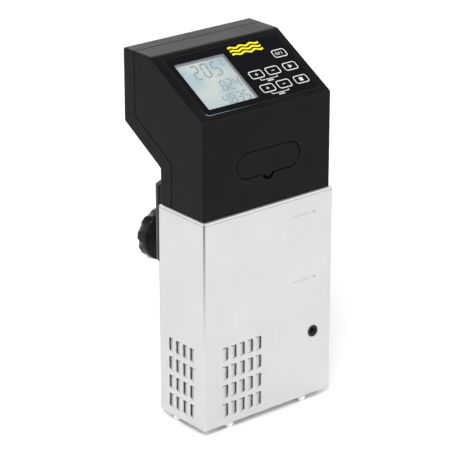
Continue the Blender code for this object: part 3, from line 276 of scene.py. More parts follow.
# Rear of the head.
INLET_CENTRE = Vector((0.030, 0.268))
INLET_BODY = Vector((0.027, 0.020))
AIR_SLOTS = 8
AIR_SLOT_START = -0.047
AIR_SLOT_PITCH = 0.0055
AIR_SLOT_WIDTH = 0.0026
AIR_SLOT_LOW = 0.256
AIR_SLOT_HIGH = 0.280
COVER_SCREW_X = 0.056
COVER_SCREW_HEIGHTS = (0.2535, 0.2895)
COVER_SCREW_HEAD = 0.0028
COVER_SCREW_SHANK = 0.0015
SCREW_SEAT = 0.0013
AIR_SLOT_MARGIN = 1e-5  # keeps the two rounded ends from touching
BOSS_HALF = 0.004
BOSS_FRONT, BOSS_BACK = 0.072, 0.0875
PILOT_START, PILOT_END = 0.0742, 0.095

# Screws: how many, head radius, head height and shank radius, then shares of the head.
SCREWS = {
    "cover_screw": (4, COVER_SCREW_HEAD, 0.0014, COVER_SCREW_SHANK),
    "panel_screw": (4, 0.0024, 0.0016, 0.0013),
    "bracket_screw": (2, 0.0036, 0.0018, 0.0016),
}
SCREW_RIM = 0.2
SCREW_DOME_ANGLES = (15, 30, 45, 60, 75)
CROSS_HALF, CROSS_DEPTH, CROSS_REACH = 0.14, 0.5, 0.58
CROSS_CUT = 0.001

# Reset button.
RESET_ROUNDING = 0.0006
RESET_SHOULDER = 0.0008
RESET_DISH = ((0.35, 0.0002), (0, 0.0003))  # share of the radius, depth
RESET_CROWN = 0.6

# Stage, light and camera.
FLOOR_SIZE = 15
WORLD_LEVELS = ((0.1, (0.95, 0.95, 0.95)), (0.4, (2.1, 2.04, 2.1)), (0.7, (0.30, 0.30, 0.31)))
LIGHT_TARGET = (0, 0, 0.15)
LIGHTS = {
    "key_light": ((-1.2, -1.0, 2.2), 1.0, 40),
    "fill_light": ((1.5, -1.6, 1.5), 1.6, 6),
    "back_light": ((0.6, 2.0, 1.9), 1.8, 16),
}
CAMERA_LENS = 178.3
CAMERA_PLACE = (-1.08215, -1.33595, 0.82934)
CAMERA_TARGET = (-0.0206, -0.0436, 0.1638)


# ---------------------------------------------------------------- mesh helpers


def add_box(bm, low, high):
    low, high = Vector(low), Vector(high)
    place = Matrix.Translation((low + high) / 2) @ Matrix.Diagonal((*(high - low), 1))
    bmesh.ops.create_cube(bm, size=1, matrix=place)


def add_rod(bm, start, end, radius, segments=48):
    start, end = Vector(start), Vector(end)
    turn = Z_AXIS.rotation_difference(end - start).to_matrix().to_4x4()
    place = Matrix.Translation((start + end) / 2) @ turn
    depth = (end - start).length
    bmesh.ops.create_cone(
        bm, cap_ends=True, segments=segments, radius1=radius, radius2=radius, depth=depth, matrix=place
    )


def new_mesh(name, bm):
    mesh = bpy.data.meshes.new(name)
    bm.to_mesh(mesh)
    bm.free()
    return mesh


def new_object(name, data):
    obj = bpy.data.objects.new(name, data)
    bpy.context.scene.collection.objects.link(obj)
    return obj


def from_bmesh(name, bm, place=BODY):
    return from_mesh(name, new_mesh(name, bm), place)


def from_mesh(name, mesh, place=BODY):
    obj = new_object(name, mesh)
    obj.matrix_world = place
    return obj


def body_middle(low, high):
    """The middle of a box from the frame, in the body frame."""
    return BODY.inverted() @ ((low + high) / 2)


def boxes(name, corners, place=BODY):
    bm = bmesh.new()
    for low, high in corners:
        add_box(bm, low, high)
    return from_bmesh(name, bm, place)


def rods(name, ends, radius, segments=48, place=BODY):
    bm = bmesh.new()
    for start, end in ends:
        add_rod(bm, start, end, radius, segments)
    return from_bmesh(name, bm, place)


def outline_solid(name, outlines, low, high, turn=None, place=BODY):
    """Flat outlines in XY, where one inside another is a hole, made solid from z = low to z = high, then turned."""
    curve = bpy.data.curves.new(name, "CURVE")
    curve.dimensions = "2D"
    curve.fill_mode = "BOTH"
    curve.extrude = (high - low) / 2
    for points in outlines:
        spline = curve.splines.new("POLY")
        spline.points.add(len(points) - 1)
        for point, (x, y) in zip(spline.points, points):
            point.co = (x, y, 0, 1)
        spline.use_cyclic_u = True
    drawn = new_object(name, curve)
    mesh = evaluated_mesh(drawn)
    bpy.data.objects.remove(drawn)
    bpy.data.curves.remove(curve)
    bm = bmesh.new()
    bm.from_mesh(mesh)
    bmesh.ops.remove_doubles(bm, verts=bm.verts, dist=1e-6)
    bmesh.ops.dissolve_limit(bm, angle_limit=radians(0.5), verts=bm.verts, edges=bm.edges)
    bmesh.ops.recalc_face_normals(bm, faces=bm.faces)
    bm.to_mesh(mesh)
    bm.free()
    mesh.transform((turn or Matrix()) @ Matrix.Translation((0, 0, (high + low) / 2)))
    return from_mesh(name, mesh, place)


def evaluated_mesh(obj):
    bpy.context.view_layer.update()
    graph = bpy.context.evaluated_depsgraph_get()
    return bpy.data.meshes.new_from_object(obj.evaluated_get(graph))


def settle(obj):
    """Applies the modifiers and drops the tools that they used."""
    mesh = evaluated_mesh(obj)
    used = [modifier.object for modifier in obj.modifiers if modifier.type == "BOOLEAN"]
    obj.modifiers.clear()
    obj.data = mesh
    for tool in used:
        bpy.data.objects.remove(tool)
    return obj


def boolean(obj, tool, operation):
    modifier = obj.modifiers.new(tool.name, "BOOLEAN")
    modifier.operation = operation
    modifier.object = tool
    return obj


def cut(obj, *cutters):
    for cutter in cutters:
        boolean(obj, cutter, "DIFFERENCE")
    return settle(obj)


def add(obj, *additions):
    for addition in additions:
        boolean(obj, addition, "UNION")
    return settle(obj)


def intersect(obj, tool):
    return settle(boolean(obj, tool, "INTERSECT"))


def bevel(obj, width, segments=3, angle=radians(30)):
    modifier = obj.modifiers.new("Rounding", "BEVEL")
    modifier.width = width
    modifier.segments = segments
    modifier.limit_method = "ANGLE"
    modifier.angle_limit = angle
    return settle(obj)


def turned(name, profile, steps=64, closed=False, place=BODY):
    """A profile of (radius, height) points turned round the object's Z axis."""
    bm = bmesh.new()
    verts = [bm.verts.new((radius, 0, height)) for radius, height in profile]
    for first, second in zip(verts, verts[1:] + verts[:1] if closed else verts[1:]):
        bm.edges.new((first, second))
    bmesh.ops.spin(
        bm, geom=bm.verts[:] + bm.edges[:], cent=(0, 0, 0), axis=(0, 0, 1), angle=2 * pi, steps=steps
    )
    bmesh.ops.remove_doubles(bm, verts=bm.verts, dist=1e-6)
    bmesh.ops.recalc_face_normals(bm, faces=bm.faces)
    return from_bmesh(name, bm, place)


def arc(centre, radius, start, end, steps):
    angles = [radians(start + (end - start) * i / steps) for i in range(steps + 1)]
    return [(centre[0] + radius * cos(a), centre[1] + radius * sin(a)) for a in angles]


def rounded_rectangle(low, high, radius, steps=8):
    inner_low = (low[0] + radius, low[1] + radius)
    inner_high = (high[0] - radius, high[1] - radius)
    points = arc(inner_high, radius, 0, 90, steps)
    points += arc((inner_low[0], inner_high[1]), radius, 90, 180, steps)
    points += arc(inner_low, radius, 180, 270, steps)
    points += arc((inner_high[0], inner_low[1]), radius, 270, 360, steps)
    return points


def rectangle(low, high):
    return [low, (high[0], low[1]), high, (low[0], high[1])]


def square(low, side):
    return rectangle(low, (low[0] + side, low[1] + side))


def stadium(centre, width, height, steps=32):
    reach = (width - height) / 2
    points = arc((centre[0] + reach, centre[1]), height / 2, -90, 90, steps)
    return points + arc((centre[0] - reach, centre[1]), height / 2, 90, 270, steps)


def inset(points, distance):
    """A closed outline, drawn anticlockwise, moved inwards by a distance."""
    moved = []
    count = len(points)
    for i in range(count):
        before, here, after = (Vector(points[(i + k) % count]) for k in (-1, 0, 1))
        first, second = (here - before).normalized(), (after - here).normalized()
        first_in, second_in = Vector((-first.y, first.x)), Vector((-second.y, second.x))
        moved.append(here + (first_in + second_in) * distance / (1 + first_in.dot(second_in)))
    return moved


def shade(obj, angle=radians(32)):
    """Smooth over rounded stretches, sharp at edges, and flat faces kept flat."""
    obj.data.shade_smooth()
    obj.data.set_sharp_from_angle(angle=angle)
    modifier = obj.modifiers.new("Normals", "WEIGHTED_NORMAL")
    modifier.keep_sharp = True
    modifier.weight = 100
    return obj


def dress(obj, finish, *replaced, body="root", slot=None, angle=radians(32)):
    """Finishes a new piece: its material, its shading, its body, and the CAD nodes that it stands for."""
    obj.data.materials.clear()
    obj.data.materials.append(finish)
    shade(obj, angle)
    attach(obj, body)
    if replaced:
        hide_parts(*replaced)
    return obj


# ---------------------------------------------------------------- materials


class Finish:
    """A Principled material, with short calls for the nodes that drive it."""

    def __init__(self, name, colour, roughness, metallic=0.0, specular=0.5, alpha=1.0):
        self.material = bpy.data.materials.new(name)
        self.material.use_nodes = True
        self.tree = self.material.node_tree
        self.shader = self.tree.nodes["Principled BSDF"]
        self.set("Base Color", (*colour, 1))
        self.set("Roughness", roughness)
        self.set("Metallic", metallic)
        self.set("Specular IOR Level", specular)
        self.set("Alpha", alpha)
        self.place = self.tree.nodes.new("ShaderNodeTexCoord").outputs["Object"]

    def set(self, socket, value):
        self.shader.inputs[socket].default_value = value

    def link(self, output, target):
        self.tree.links.new(output, target)

    def stretched(self, scale):
        """Object coordinates, scaled along each axis."""
        mapping = self.tree.nodes.new("ShaderNodeMapping")
        mapping.inputs["Scale"].default_value = scale
        self.link(self.place, mapping.inputs["Vector"])
        return mapping.outputs["Vector"]

    def noise(self, scale, detail=3.0, stretch=(1, 1, 1)):
        node = self.tree.nodes.new("ShaderNodeTexNoise")
        node.inputs["Scale"].default_value = scale
        node.inputs["Detail"].default_value = detail
        self.link(self.stretched(stretch), node.inputs["Vector"])
        return node.outputs["Fac"]

    def cells(self, scale, feature="F1"):
        node = self.tree.nodes.new("ShaderNodeTexVoronoi")
        node.feature = feature
        node.inputs["Scale"].default_value = scale
        self.link(self.stretched((1, 1, 1)), node.inputs["Vector"])
        return node.outputs["Distance"]

    def along(self, direction):
        """Distance along a direction, in object coordinates."""
        node = self.tree.nodes.new("ShaderNodeVectorMath")
        node.operation = "DOT_PRODUCT"
        node.inputs[1].default_value = direction
        self.link(self.place, node.inputs[0])
        return node.outputs["Value"]

    def times(self, first, second):
        node = self.tree.nodes.new("ShaderNodeMath")
        node.operation = "MULTIPLY"
        self.link(first, node.inputs[0])
        self.link(second, node.inputs[1])
        return node.outputs["Value"]

    def spread(self, source, low, high, start=0.3, end=0.7):
        """Maps the source from start to end onto low to high."""
        node = self.tree.nodes.new("ShaderNodeMapRange")
        for socket, value in (("From Min", start), ("From Max", end), ("To Min", low), ("To Max", high)):
            node.inputs[socket].default_value = value
        self.link(source, node.inputs["Value"])
        return node.outputs["Result"]

    def roughness(self, source, low, high):
        self.link(self.spread(source, low, high), self.shader.inputs["Roughness"])

    def mix(self, factor, first, second):
        """A colour between two, each a colour or an output."""
        node = self.tree.nodes.new("ShaderNodeMix")
        node.data_type = "RGBA"
        self.link(factor, node.inputs[0])
        for socket, colour in ((node.inputs[6], first), (node.inputs[7], second)):
            if isinstance(colour, tuple):
                socket.default_value = (*colour, 1)
            else:
                self.link(colour, socket)
        return node.outputs[2]

    def colour(self, source):
        self.link(source, self.shader.inputs["Base Color"])

    def mottle(self, source, dark, light):
        """Colours that drift between two with the source."""
        self.colour(self.mix(self.spread(source, 0, 1), dark, light))

    def bump(self, source, strength, distance):
        node = self.tree.nodes.new("ShaderNodeBump")
        node.inputs["Strength"].default_value = strength
        node.inputs["Distance"].default_value = distance
        self.link(source, node.inputs["Height"])
        target = self.shader.inputs["Normal"]
        if target.links:
            self.link(target.links[0].from_socket, node.inputs["Normal"])
        self.link(node.outputs["Normal"], target)


def brushed(name, dark, light, low, high, grain=(900, 900, 14), strength=0.12, metallic=1.0):
    """A brushed finish, and its colour for a finish that adds to it."""
    finish = Finish(name, light, high, metallic=metallic)
    lines = finish.noise(1, 2, grain)
    marks = finish.noise(22, 4)
    colour = finish.mix(finish.spread(marks, 0, 1), dark, light)
    finish.colour(colour)
    finish.roughness(lines, low, high)
    finish.bump(lines, strength, 0.00004)
    return finish, colour


def brushed_metal(*look):
    """Sheet metal with a fine grain along one axis and faint handling marks."""
    return brushed(*look)[0].material


def folded_steel(*look):
    """Brushed sheet with a painted dark reflection along its left front fold, stronger towards its top."""
    finish, colour = brushed(*look)
    across = finish.along((1, 1, 0))
    fold = finish.spread(across, 1, 0, *(reach - SKIRT_WIDTH / 2 for reach in FOLD_SHADE))
    upper = finish.spread(finish.along((0, 0, 1)), 0, 0.9, *FOLD_SHADE_HEIGHTS)
    # Paints the dark reflection down the fold, fading out lower down.
    finish.colour(finish.mix(finish.times(fold, upper), colour, (0.05, 0.05, 0.05)))
    return finish.material


def moulded_plastic(name, dark, light, low, high, specular=0.3, grain=2600, strength=0.12):
    """Injection-moulded plastic: a fine spark-eroded texture with slightly uneven sheen."""
    finish = Finish(name, dark, high, specular=specular)
    patches = finish.noise(35, 4)
    finish.mottle(patches, dark, light)
    finish.roughness(patches, low, high)
    finish.bump(finish.noise(grain, 2), strength, 0.00005)
    return finish.material


def gloss_film(name, colour, specular=0.35):
    """Printed polyester film: glossy, with faint wipe marks."""
    finish = Finish(name, colour, 0.12, specular=specular)
    wipes = finish.noise(60, 5, (1, 3, 1))
    finish.roughness(wipes, 0.07, 0.16)
    finish.mottle(wipes, colour, tuple(1.6 * c for c in colour))
    finish.bump(finish.noise(220, 2), 0.03, 0.00004)
    return finish.material


def rubber(name, dark, light, rough=0.75, specular=0.3):
    finish = Finish(name, dark, rough, specular=specular)
    bloom = finish.noise(120, 5)
    finish.mottle(bloom, dark, light)
    finish.roughness(bloom, rough - 0.12, rough + 0.08)
    finish.bump(finish.noise(3000, 3), 0.2, 0.00005)
    return finish.material


def powder_coat(name, dark, light):
    finish = Finish(name, dark, 0.45, specular=0.4)
    finish.mottle(finish.noise(90, 4), dark, light)
    finish.roughness(finish.noise(700, 2), 0.36, 0.52)
    finish.bump(finish.cells(1400), 0.25, 0.00006)
    return finish.material


def circuit_board(name):
    """Green solder mask with the faint relief of tracks."""
    finish = Finish(name, (0.02, 0.12, 0.05), 0.35)
    tracks = finish.cells(260, "DISTANCE_TO_EDGE")
    lines = finish.spread(tracks, 1, 0, 0.02, 0.06)
    finish.colour(finish.mix(lines, (0.015, 0.10, 0.04), (0.04, 0.22, 0.09)))
    finish.roughness(finish.noise(300), 0.28, 0.45)
    finish.bump(lines, 0.3, 0.00004)
    return finish.material


def display_face(name):
    """A reflective display: pale, greener in the middle and bluer towards its corners."""
    finish = Finish(name, (0.55, 0.66, 0.66), 0.32, specular=0.3)
    patches = finish.noise(45, 1)
    near = finish.noise(28, 1, (1, 1.4, 1))
    greenish = finish.mix(finish.spread(patches, 0, 1), (0.42, 0.46, 0.37), (0.41, 0.45, 0.39))
    finish.colour(finish.mix(finish.spread(near, 0, 1, 0.35, 0.65), (0.21, 0.33, 0.37), greenish))
    finish.roughness(finish.noise(400), 0.26, 0.38)
    return finish.material


def clear_window(name):
    finish = Finish(name, (0.90, 0.95, 0.97), 0.03, specular=0.5, alpha=0.10)
    finish.roughness(finish.noise(80, 3), 0.02, 0.07)
    return finish.material


# Flat colours for print, also used for the painted highlights and shade on the panel and the display.
def ink_and_painted_light(name, colour, rough=0.35):
    finish = Finish(name, colour, rough, specular=0.3)
    worn = finish.noise(900, 3)
    finish.mottle(worn, tuple(0.88 * c for c in colour), colour)
    finish.roughness(worn, rough - 0.08, rough + 0.08)
    return finish.material


FINISHES = {
    "skirt_steel": folded_steel(
        "skirt_steel", (0.552, 0.549, 0.543), (0.582, 0.578, 0.572), 0.28, 0.44, (700, 700, 7), 0.08, 0.55
    ),
    "plain_steel": brushed_metal("plain_steel", (0.60, 0.59, 0.58), (0.70, 0.69, 0.68), 0.22, 0.38, (500, 500, 500)),
    "screw_steel": brushed_metal("screw_steel", (0.74, 0.74, 0.74), (0.82, 0.82, 0.81), 0.12, 0.24, (600, 600, 600)),
    "black_plastic": moulded_plastic(
        "black_plastic", (0.0042, 0.0038, 0.0040), (0.0060, 0.0053, 0.0056), 0.32, 0.40, 0.082
    ),
    "knob_plastic": moulded_plastic("knob_plastic", (0.0022, 0.0022, 0.0022), (0.004, 0.004, 0.0042), 0.24, 0.34, 0.24),
    "inner_plastic": moulded_plastic("inner_plastic", (0.02, 0.02, 0.021), (0.035, 0.035, 0.036), 0.45, 0.6),
    "panel_gloss": gloss_film("panel_gloss", (0.0016, 0.0020, 0.0028), 0.16),
    "window_clear": clear_window("window_clear"),
    "lcd_face": display_face("lcd_face"),
    "board_green": circuit_board("board_green"),
    "black_rubber": rubber("black_rubber", (0.010, 0.010, 0.010), (0.018, 0.018, 0.018)),
    "foot_silicone": rubber("foot_silicone", (0.70, 0.70, 0.68), (0.78, 0.78, 0.76), 0.45, 0.5),
    "bracket_paint": powder_coat("bracket_paint", (0.028, 0.028, 0.030), (0.038, 0.038, 0.040)),
    "aluminium": brushed_metal("aluminium", (0.52, 0.52, 0.53), (0.62, 0.62, 0.63), 0.3, 0.45, (700, 20, 700)),
    "bush_brass": brushed_metal("bush_brass", (0.48, 0.34, 0.13), (0.58, 0.43, 0.18), 0.25, 0.4, (400, 400, 400)),
    "reset_red": moulded_plastic("reset_red", (0.40, 0.015, 0.015), (0.50, 0.025, 0.02), 0.25, 0.38, 0.5),
}
WHITE_INK = ink_and_painted_light("white_ink", (0.66, 0.65, 0.64))
YELLOW_INK = ink_and_painted_light("yellow_ink", (0.86, 0.72, 0.02))
DIGIT_INK = ink_and_painted_light("digit_ink", (0.12, 0.17, 0.17), 0.4)
FAINT_DIGIT_INK = ink_and_painted_light("faint_digit_ink", (0.30, 0.37, 0.34), 0.4)
# Painted shade round the display, under the window's edges.
BORDER_SHADE_INK = ink_and_painted_light("border_shade_ink", (0.045, 0.06, 0.075), 0.4)
TAB_INK = ink_and_painted_light("tab_ink", (0.48, 0.48, 0.48))
# The next two colours are painted highlights along the control film's edge.
EDGE_SHEEN_INK = ink_and_painted_light("edge_sheen_ink", (0.022, 0.024, 0.027))
GLINT_INK = ink_and_painted_light("glint_ink", (0.20, 0.30, 0.36))
ETCHED_GREY = ink_and_painted_light("etched_grey", (0.36, 0.36, 0.36), 0.5)


# ---------------------------------------------------------------- CAD pieces that stay


def welded_shading():
    """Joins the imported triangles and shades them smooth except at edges."""
    group = bpy.data.node_groups.new("welded_shading", "GeometryNodeTree")
    group.interface.new_socket("Geometry", in_out="INPUT", socket_type="NodeSocketGeometry")
    group.interface.new_socket("Geometry", in_out="OUTPUT", socket_type="NodeSocketGeometry")
    new = group.nodes.new
    source, result = new("NodeGroupInput"), new("NodeGroupOutput")
    drop, weld = new("GeometryNodeRemoveAttribute"), new("GeometryNodeMergeByDistance")
    smooth, sharp = new("GeometryNodeSetShadeSmooth"), new("GeometryNodeSetShadeSmooth")
    angle, compare = new("GeometryNodeInputMeshEdgeAngle"), new("FunctionNodeCompare")
    drop.inputs["Name"].default_value = "custom_normal"
    weld.inputs["Distance"].default_value = 1e-6
    sharp.domain = "EDGE"
    compare.operation = "LESS_THAN"
    compare.inputs[1].default_value = radians(35)
    chain = [source, drop, weld, smooth, sharp, result]
    for first, second in zip(chain, chain[1:]):
        group.links.new(first.outputs["Geometry"], second.inputs["Geometry"])
    group.links.new(angle.outputs["Unsigned Angle"], compare.inputs[0])
    group.links.new(compare.outputs[0], sharp.inputs["Shade Smooth"])
    return group


def finish_cad_nodes():
    group = welded_shading()
    for name, obj in nodes.items():
        obj.modifiers.new("Shading", "NODES").node_group = group
        for holder in obj.material_slots:
            holder.material = FINISHES[node_slots[name]]


# ---------------------------------------------------------------- skirt, feet and outlet


def louvre_places():
    """(hinge corner, direction along the sheet, direction inwards) of every louvre."""
    places = []
    for row in range(LOUVRE_ROWS):
        height = LOUVRE_BOTTOM + row * LOUVRE_ROW_PITCH
        for column in range(FRONT_LOUVRE_COLUMNS):
            places.append((Vector((FRONT_LOUVRE_START + column * FRONT_LOUVRE_PITCH, 0, height)), X_AXIS, Y_AXIS))
        for column in range(SIDE_LOUVRE_COLUMNS):
            start = Vector((-SKIRT_WIDTH / 2, SIDE_LOUVRE_START + column * SIDE_LOUVRE_PITCH, height))
            places.append((start, Y_AXIS, X_AXIS))
    return places


def add_plate(bm, outline, low, high):
    """An outline in XY as a closed plate from z = low to z = high."""
    face = bm.faces.new([bm.verts.new((x, y, low)) for x, y in outline])
    raised = bmesh.ops.extrude_face_region(bm, geom=[face])["geom"]
    top = [item for item in raised if isinstance(item, bmesh.types.BMVert)]
    bmesh.ops.translate(bm, verts=top, vec=(0, 0, high - low))


def louvre_outline(height, start=0.0):
    points = [(start, height), (start, 0)]
    points += arc((LOUVRE_WIDTH - LOUVRE_CORNER, LOUVRE_CORNER), LOUVRE_CORNER, -90, 0, 5)
    points += arc((LOUVRE_WIDTH - LOUVRE_CORNER, height - LOUVRE_CORNER), LOUVRE_CORNER, 0, 90, 5)
    return points


def louvre_tab():
    """One tab: flat at its root, then bent inwards over a small radius."""
    bm = bmesh.new()
    outline = louvre_outline(LOUVRE_HEIGHT - GAP - LOUVRE_TOP_GAP, -SHEET / 2)
    add_plate(bm, outline, LOUVRE_SKIN, SHEET - LOUVRE_SKIN)
    bend_end = LOUVRE_BEND * LOUVRE_ANGLE
    for i in range(6):
        everything = bm.verts[:] + bm.edges[:] + bm.faces[:]
        bmesh.ops.bisect_plane(bm, geom=everything, plane_co=(bend_end * i / 5, 0, 0), plane_no=(1, 0, 0))
    for vert in bm.verts:
        x, depth = vert.co.x, vert.co.z
        turn = LOUVRE_ANGLE * min(max(x / bend_end, 0), 1)
        beyond = max(x - bend_end, 0) + min(x, 0)
        along = LOUVRE_BEND * sin(turn) + beyond * cos(turn)
        inwards = LOUVRE_BEND * (1 - cos(turn)) + beyond * sin(turn)
        vert.co.x, vert.co.z = along - depth * sin(turn), inwards + depth * cos(turn)
    bmesh.ops.recalc_face_normals(bm, faces=bm.faces)
    return new_mesh("louvre_tab", bm)


def sheet_place(start, along, inwards):
    """Maps x along the sheet, y up and z inwards."""
    place = Matrix.Identity(4)
    for column, vector in enumerate((along, Z_AXIS, inwards, start)):
        place.col[column].xyz = vector
    return place


def louvre_floor():
    """The floor of one louvre, which closes it behind the sheet."""
    reach = LOUVRE_BEND * sin(LOUVRE_ANGLE) + (LOUVRE_WIDTH - LOUVRE_BEND * LOUVRE_ANGLE) * cos(LOUVRE_ANGLE)
    depth = reach * tan(LOUVRE_ANGLE) + SHEET / 2
    left, right, top = -SHEET / 2, reach - SHEET / 2, SHEET * 0.6
    outline = [(left, top), (right, top), (right, depth), (left, SHEET * 0.9)]
    bm = bmesh.new()
    add_plate(bm, outline, -LOUVRE_END, GAP / 2)
    swap_y_and_z = Matrix(((1, 0, 0, 0), (0, 0, 1, 0), (0, 1, 0, 0), (0, 0, 0, 1)))
    bmesh.ops.transform(bm, matrix=swap_y_and_z, verts=bm.verts)
    return new_mesh("louvre_floor", bm)


def louvre_slot():
    bm = bmesh.new()
    add_plate(bm, louvre_outline(LOUVRE_HEIGHT), -SHEET, 2 * SHEET)
    return new_mesh("louvre_slot", bm)


def louvre_tools():
    """All the louvres' slots, tabs and floors, each as one tool."""
    slots, tabs, floors = bmesh.new(), bmesh.new(), bmesh.new()
    tab, floor, slot = louvre_tab(), louvre_floor(), louvre_slot()
    for start, along, inwards in louvre_places():
        for target, mesh, lift in ((slots, slot, 0), (tabs, tab, GAP), (floors, floor, GAP)):
            copy = mesh.copy()
            copy.transform(sheet_place(start + Z_AXIS * lift, along, inwards))
            target.from_mesh(copy)
            bpy.data.meshes.remove(copy)
    tools = []
    for name, bm in (("louvre_slots", slots), ("louvre_tabs", tabs), ("louvre_floors", floors)):
        bmesh.ops.recalc_face_normals(bm, faces=bm.faces)
        tools.append(from_bmesh(name, bm))
    return tools


def skirt_groove():
    """A shallow line round the front and the sides, under the rolled top edge."""
    half, bottom = SKIRT_WIDTH / 2, SKIRT_HEIGHT - GROOVE_DROP
    top = bottom + GROOVE_WIDTH
    corners = [((-half - SHEET, -SHEET, bottom), (half + SHEET, GROOVE_DEPTH, top))]
    for side in (-1, 1):
        near, far = sorted((side * (half - GROOVE_DEPTH), side * (half + SHEET)))
        corners.append(((near, SHEET, bottom), (far, SKIRT_DEPTH + SHEET, top)))
    return boxes("skirt_groove", corners)


def make_skirt():
    half = SKIRT_WIDTH / 2
    skirt = boxes("skirt_wrap", [((-half, 0, 0), (half, SKIRT_DEPTH + TRIM, SKIRT_HEIGHT))])
    bevel(skirt, EDGE_RADIUS, 5)
    opening, back = half - FLANGE, SKIRT_DEPTH - FLANGE
    inner_low = (SHEET - half, SHEET, SHEET)
    inner_high = (half - SHEET, SKIRT_DEPTH - SHEET, SKIRT_HEIGHT - SHEET)
    inside = bevel(boxes("skirt_inside", [(inner_low, inner_high)]), EDGE_RADIUS - SHEET, 3)
    slots, tabs, floors = louvre_tools()
    cut(
        skirt,
        boxes("skirt_back_trim", [((-2 * half, SKIRT_DEPTH, -TRIM), (2 * half, CUT_SIDE, CUT_FAR))]),
        inside,
        boxes("skirt_through", [((-opening, FLANGE, -TRIM), (opening, back, CUT_FAR))]),
        boxes("skirt_back_opening", [((-opening, back - TRIM, FLANGE), (opening, CUT_SIDE, SKIRT_HEIGHT - FLANGE))]),
        slots,
        skirt_groove(),
    )
    add(skirt, tabs, floors)
    outlet = Vector((OUTLET_X, 0, OUTLET_Z))
    reach = Y_AXIS * OUTLET_CUT
    feet = []
    for number in FEET:
        centre = body_middle(*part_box(f"foot_{number}"))
        feet.append(((centre.x, centre.y, -TRIM), (centre.x, centre.y, FLANGE / 2)))
    cut(
        skirt,
        rods("outlet_hole", [(outlet - reach, outlet + reach)], GROMMET_NECK + GAP),
        rods("foot_holes", feet, FOOT_HOLE, 24),
    )
    dress(skirt, FINISHES["skirt_steel"], "steel_skirt")


def make_level_marks():
    for name, (start, end, height) in LEVEL_MARKS.items():
        line = rectangle((start, height - MARK_HALF), (end, height + MARK_HALF))
        tip = end + ARROW_GAP
        arrow = [(tip, height), (tip + ARROW_LENGTH, height - ARROW_HALF), (tip + ARROW_LENGTH, height + ARROW_HALF)]
        mark = outline_solid(f"level_mark_{name}", [line, arrow], -MARK_SINK, MARK_PROUD, FACING_FRONT)
        dress(mark, ETCHED_GREY)


def make_feet():
    for number in FEET:
        low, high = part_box(f"foot_{number}")
        radius = (high.x - low.x) / 2
        top, side = skirt_low.z - GAP, skirt_low.z - FOOT_SIDE
        profile = [(0, high.z), (FOOT_STEM, high.z), (FOOT_STEM, top), (radius - FOOT_TOP_EDGE, top)]
        profile += arc((radius - FOOT_TOP_ROUNDING, top - FOOT_TOP_ROUNDING), FOOT_TOP_ROUNDING, 70, 0, 3)
        profile += [(radius, side)]
        profile += arc((radius - FOOT_ROUNDING, side), FOOT_ROUNDING, -10, -70, 5)
        profile += [(FOOT_FLAT, low.z), (0, low.z)]
        centre = (low + high) / 2
        foot = turned(f"bumper_{number}", profile, 32, place=Matrix.Translation((centre.x, centre.y, 0)))
        dress(foot, FINISHES["foot_silicone"], f"foot_{number}")


def make_outlet():
    face = GROMMET_PROUD
    inner, outer = GROMMET_INNER_ROUNDING, GROMMET_OUTER_ROUNDING
    profile = arc((OUTLET_BORE + inner, face - inner), inner, 180, 90, 5)
    profile += arc((GROMMET_FLANGE - outer, face - outer), outer, 90, 0, 4)
    profile += [(GROMMET_FLANGE, GAP), (GROMMET_NECK, GAP)]
    profile += [(GROMMET_NECK, -GROMMET_BACK), (OUTLET_BORE, -GROMMET_BACK)]
    place = BODY @ Matrix.Translation((OUTLET_X, 0, OUTLET_Z)) @ Matrix.Rotation(radians(90), 4, "X")
    ring = turned("outlet_ring", profile, 64, True, place)
    dress(ring, FINISHES["black_rubber"], "outlet_grommet")
    profile = rectangle((OUTLET_BORE - LINER_WALL, 0), (OUTLET_BORE, -GROMMET_BACK))
    dress(turned("outlet_liner", profile, 48, True, place), FINISHES["inner_plastic"])


# ---------------------------------------------------------------- head


def head_outline():
    """The head from the side, as (Y, Z), anticlockwise."""
    rise = PANEL_START_HEIGHT + HEAD_FRONT * sin(PANEL_ANGLE) / cos(PANEL_ANGLE)
    panel_end = (HEAD_TOP - PANEL_START_HEIGHT) * cos(PANEL_ANGLE) / sin(PANEL_ANGLE)
    return [
        (HEAD_FRONT, HEAD_BOTTOM - TRIM),
        (HEAD_BACK, HEAD_BOTTOM - TRIM),
        (HEAD_BACK, BACK_KNEE_HEIGHT),
        (HEAD_REAR, REAR_KNEE_HEIGHT),
        (HEAD_REAR, HEAD_TOP),
        (panel_end, HEAD_TOP),
        (HEAD_FRONT, rise),
    ]


def seam_line(depth):
    """The parting line, as far in from the head's back as depth says."""
    line = inset(head_outline(), depth)[1:5]
    return [(line[0][0], CUT_LOW)] + [tuple(point) for point in line[1:3]] + [(line[3][0], CUT_HIGH)]


def new_head_half(name, other_half):
    half = HEAD_WIDTH / 2
    head = outline_solid(name, [head_outline()], -half, half, ACROSS_X)
    bevel(head, HEAD_ROUNDING, 6, radians(20))
    cavity = [(y, z if z > HEAD_BOTTOM else CUT_LOW) for y, z in inset(head_outline(), WALL)]
    cut(
        head,
        outline_solid(f"{name}_cavity", [cavity], WALL - half, half - WALL, ACROSS_X),
        boxes(f"{name}_trim", [((-CUT_SIDE, -CUT_SIDE, CUT_LOW), (CUT_SIDE, CUT_FAR, HEAD_BOTTOM))]),
        outline_solid(f"{name}_other_half", [other_half], -CUT_SIDE, CUT_SIDE, ACROSS_X),
    )
    return head


def cover_screw_places():
    return [(side * COVER_SCREW_X, height) for height in COVER_SCREW_HEIGHTS for side in (-1, 1)]


def key_outline(name, margin=0.0):
    x, y = KEY_PLACES[name]
    half = Vector((KEY_WIDTH / 2 + margin, KEY_HEIGHT / 2 + margin))
    centre = Vector((x, y))
    return rounded_rectangle(centre - half, centre + half, KEY_CORNER + margin)


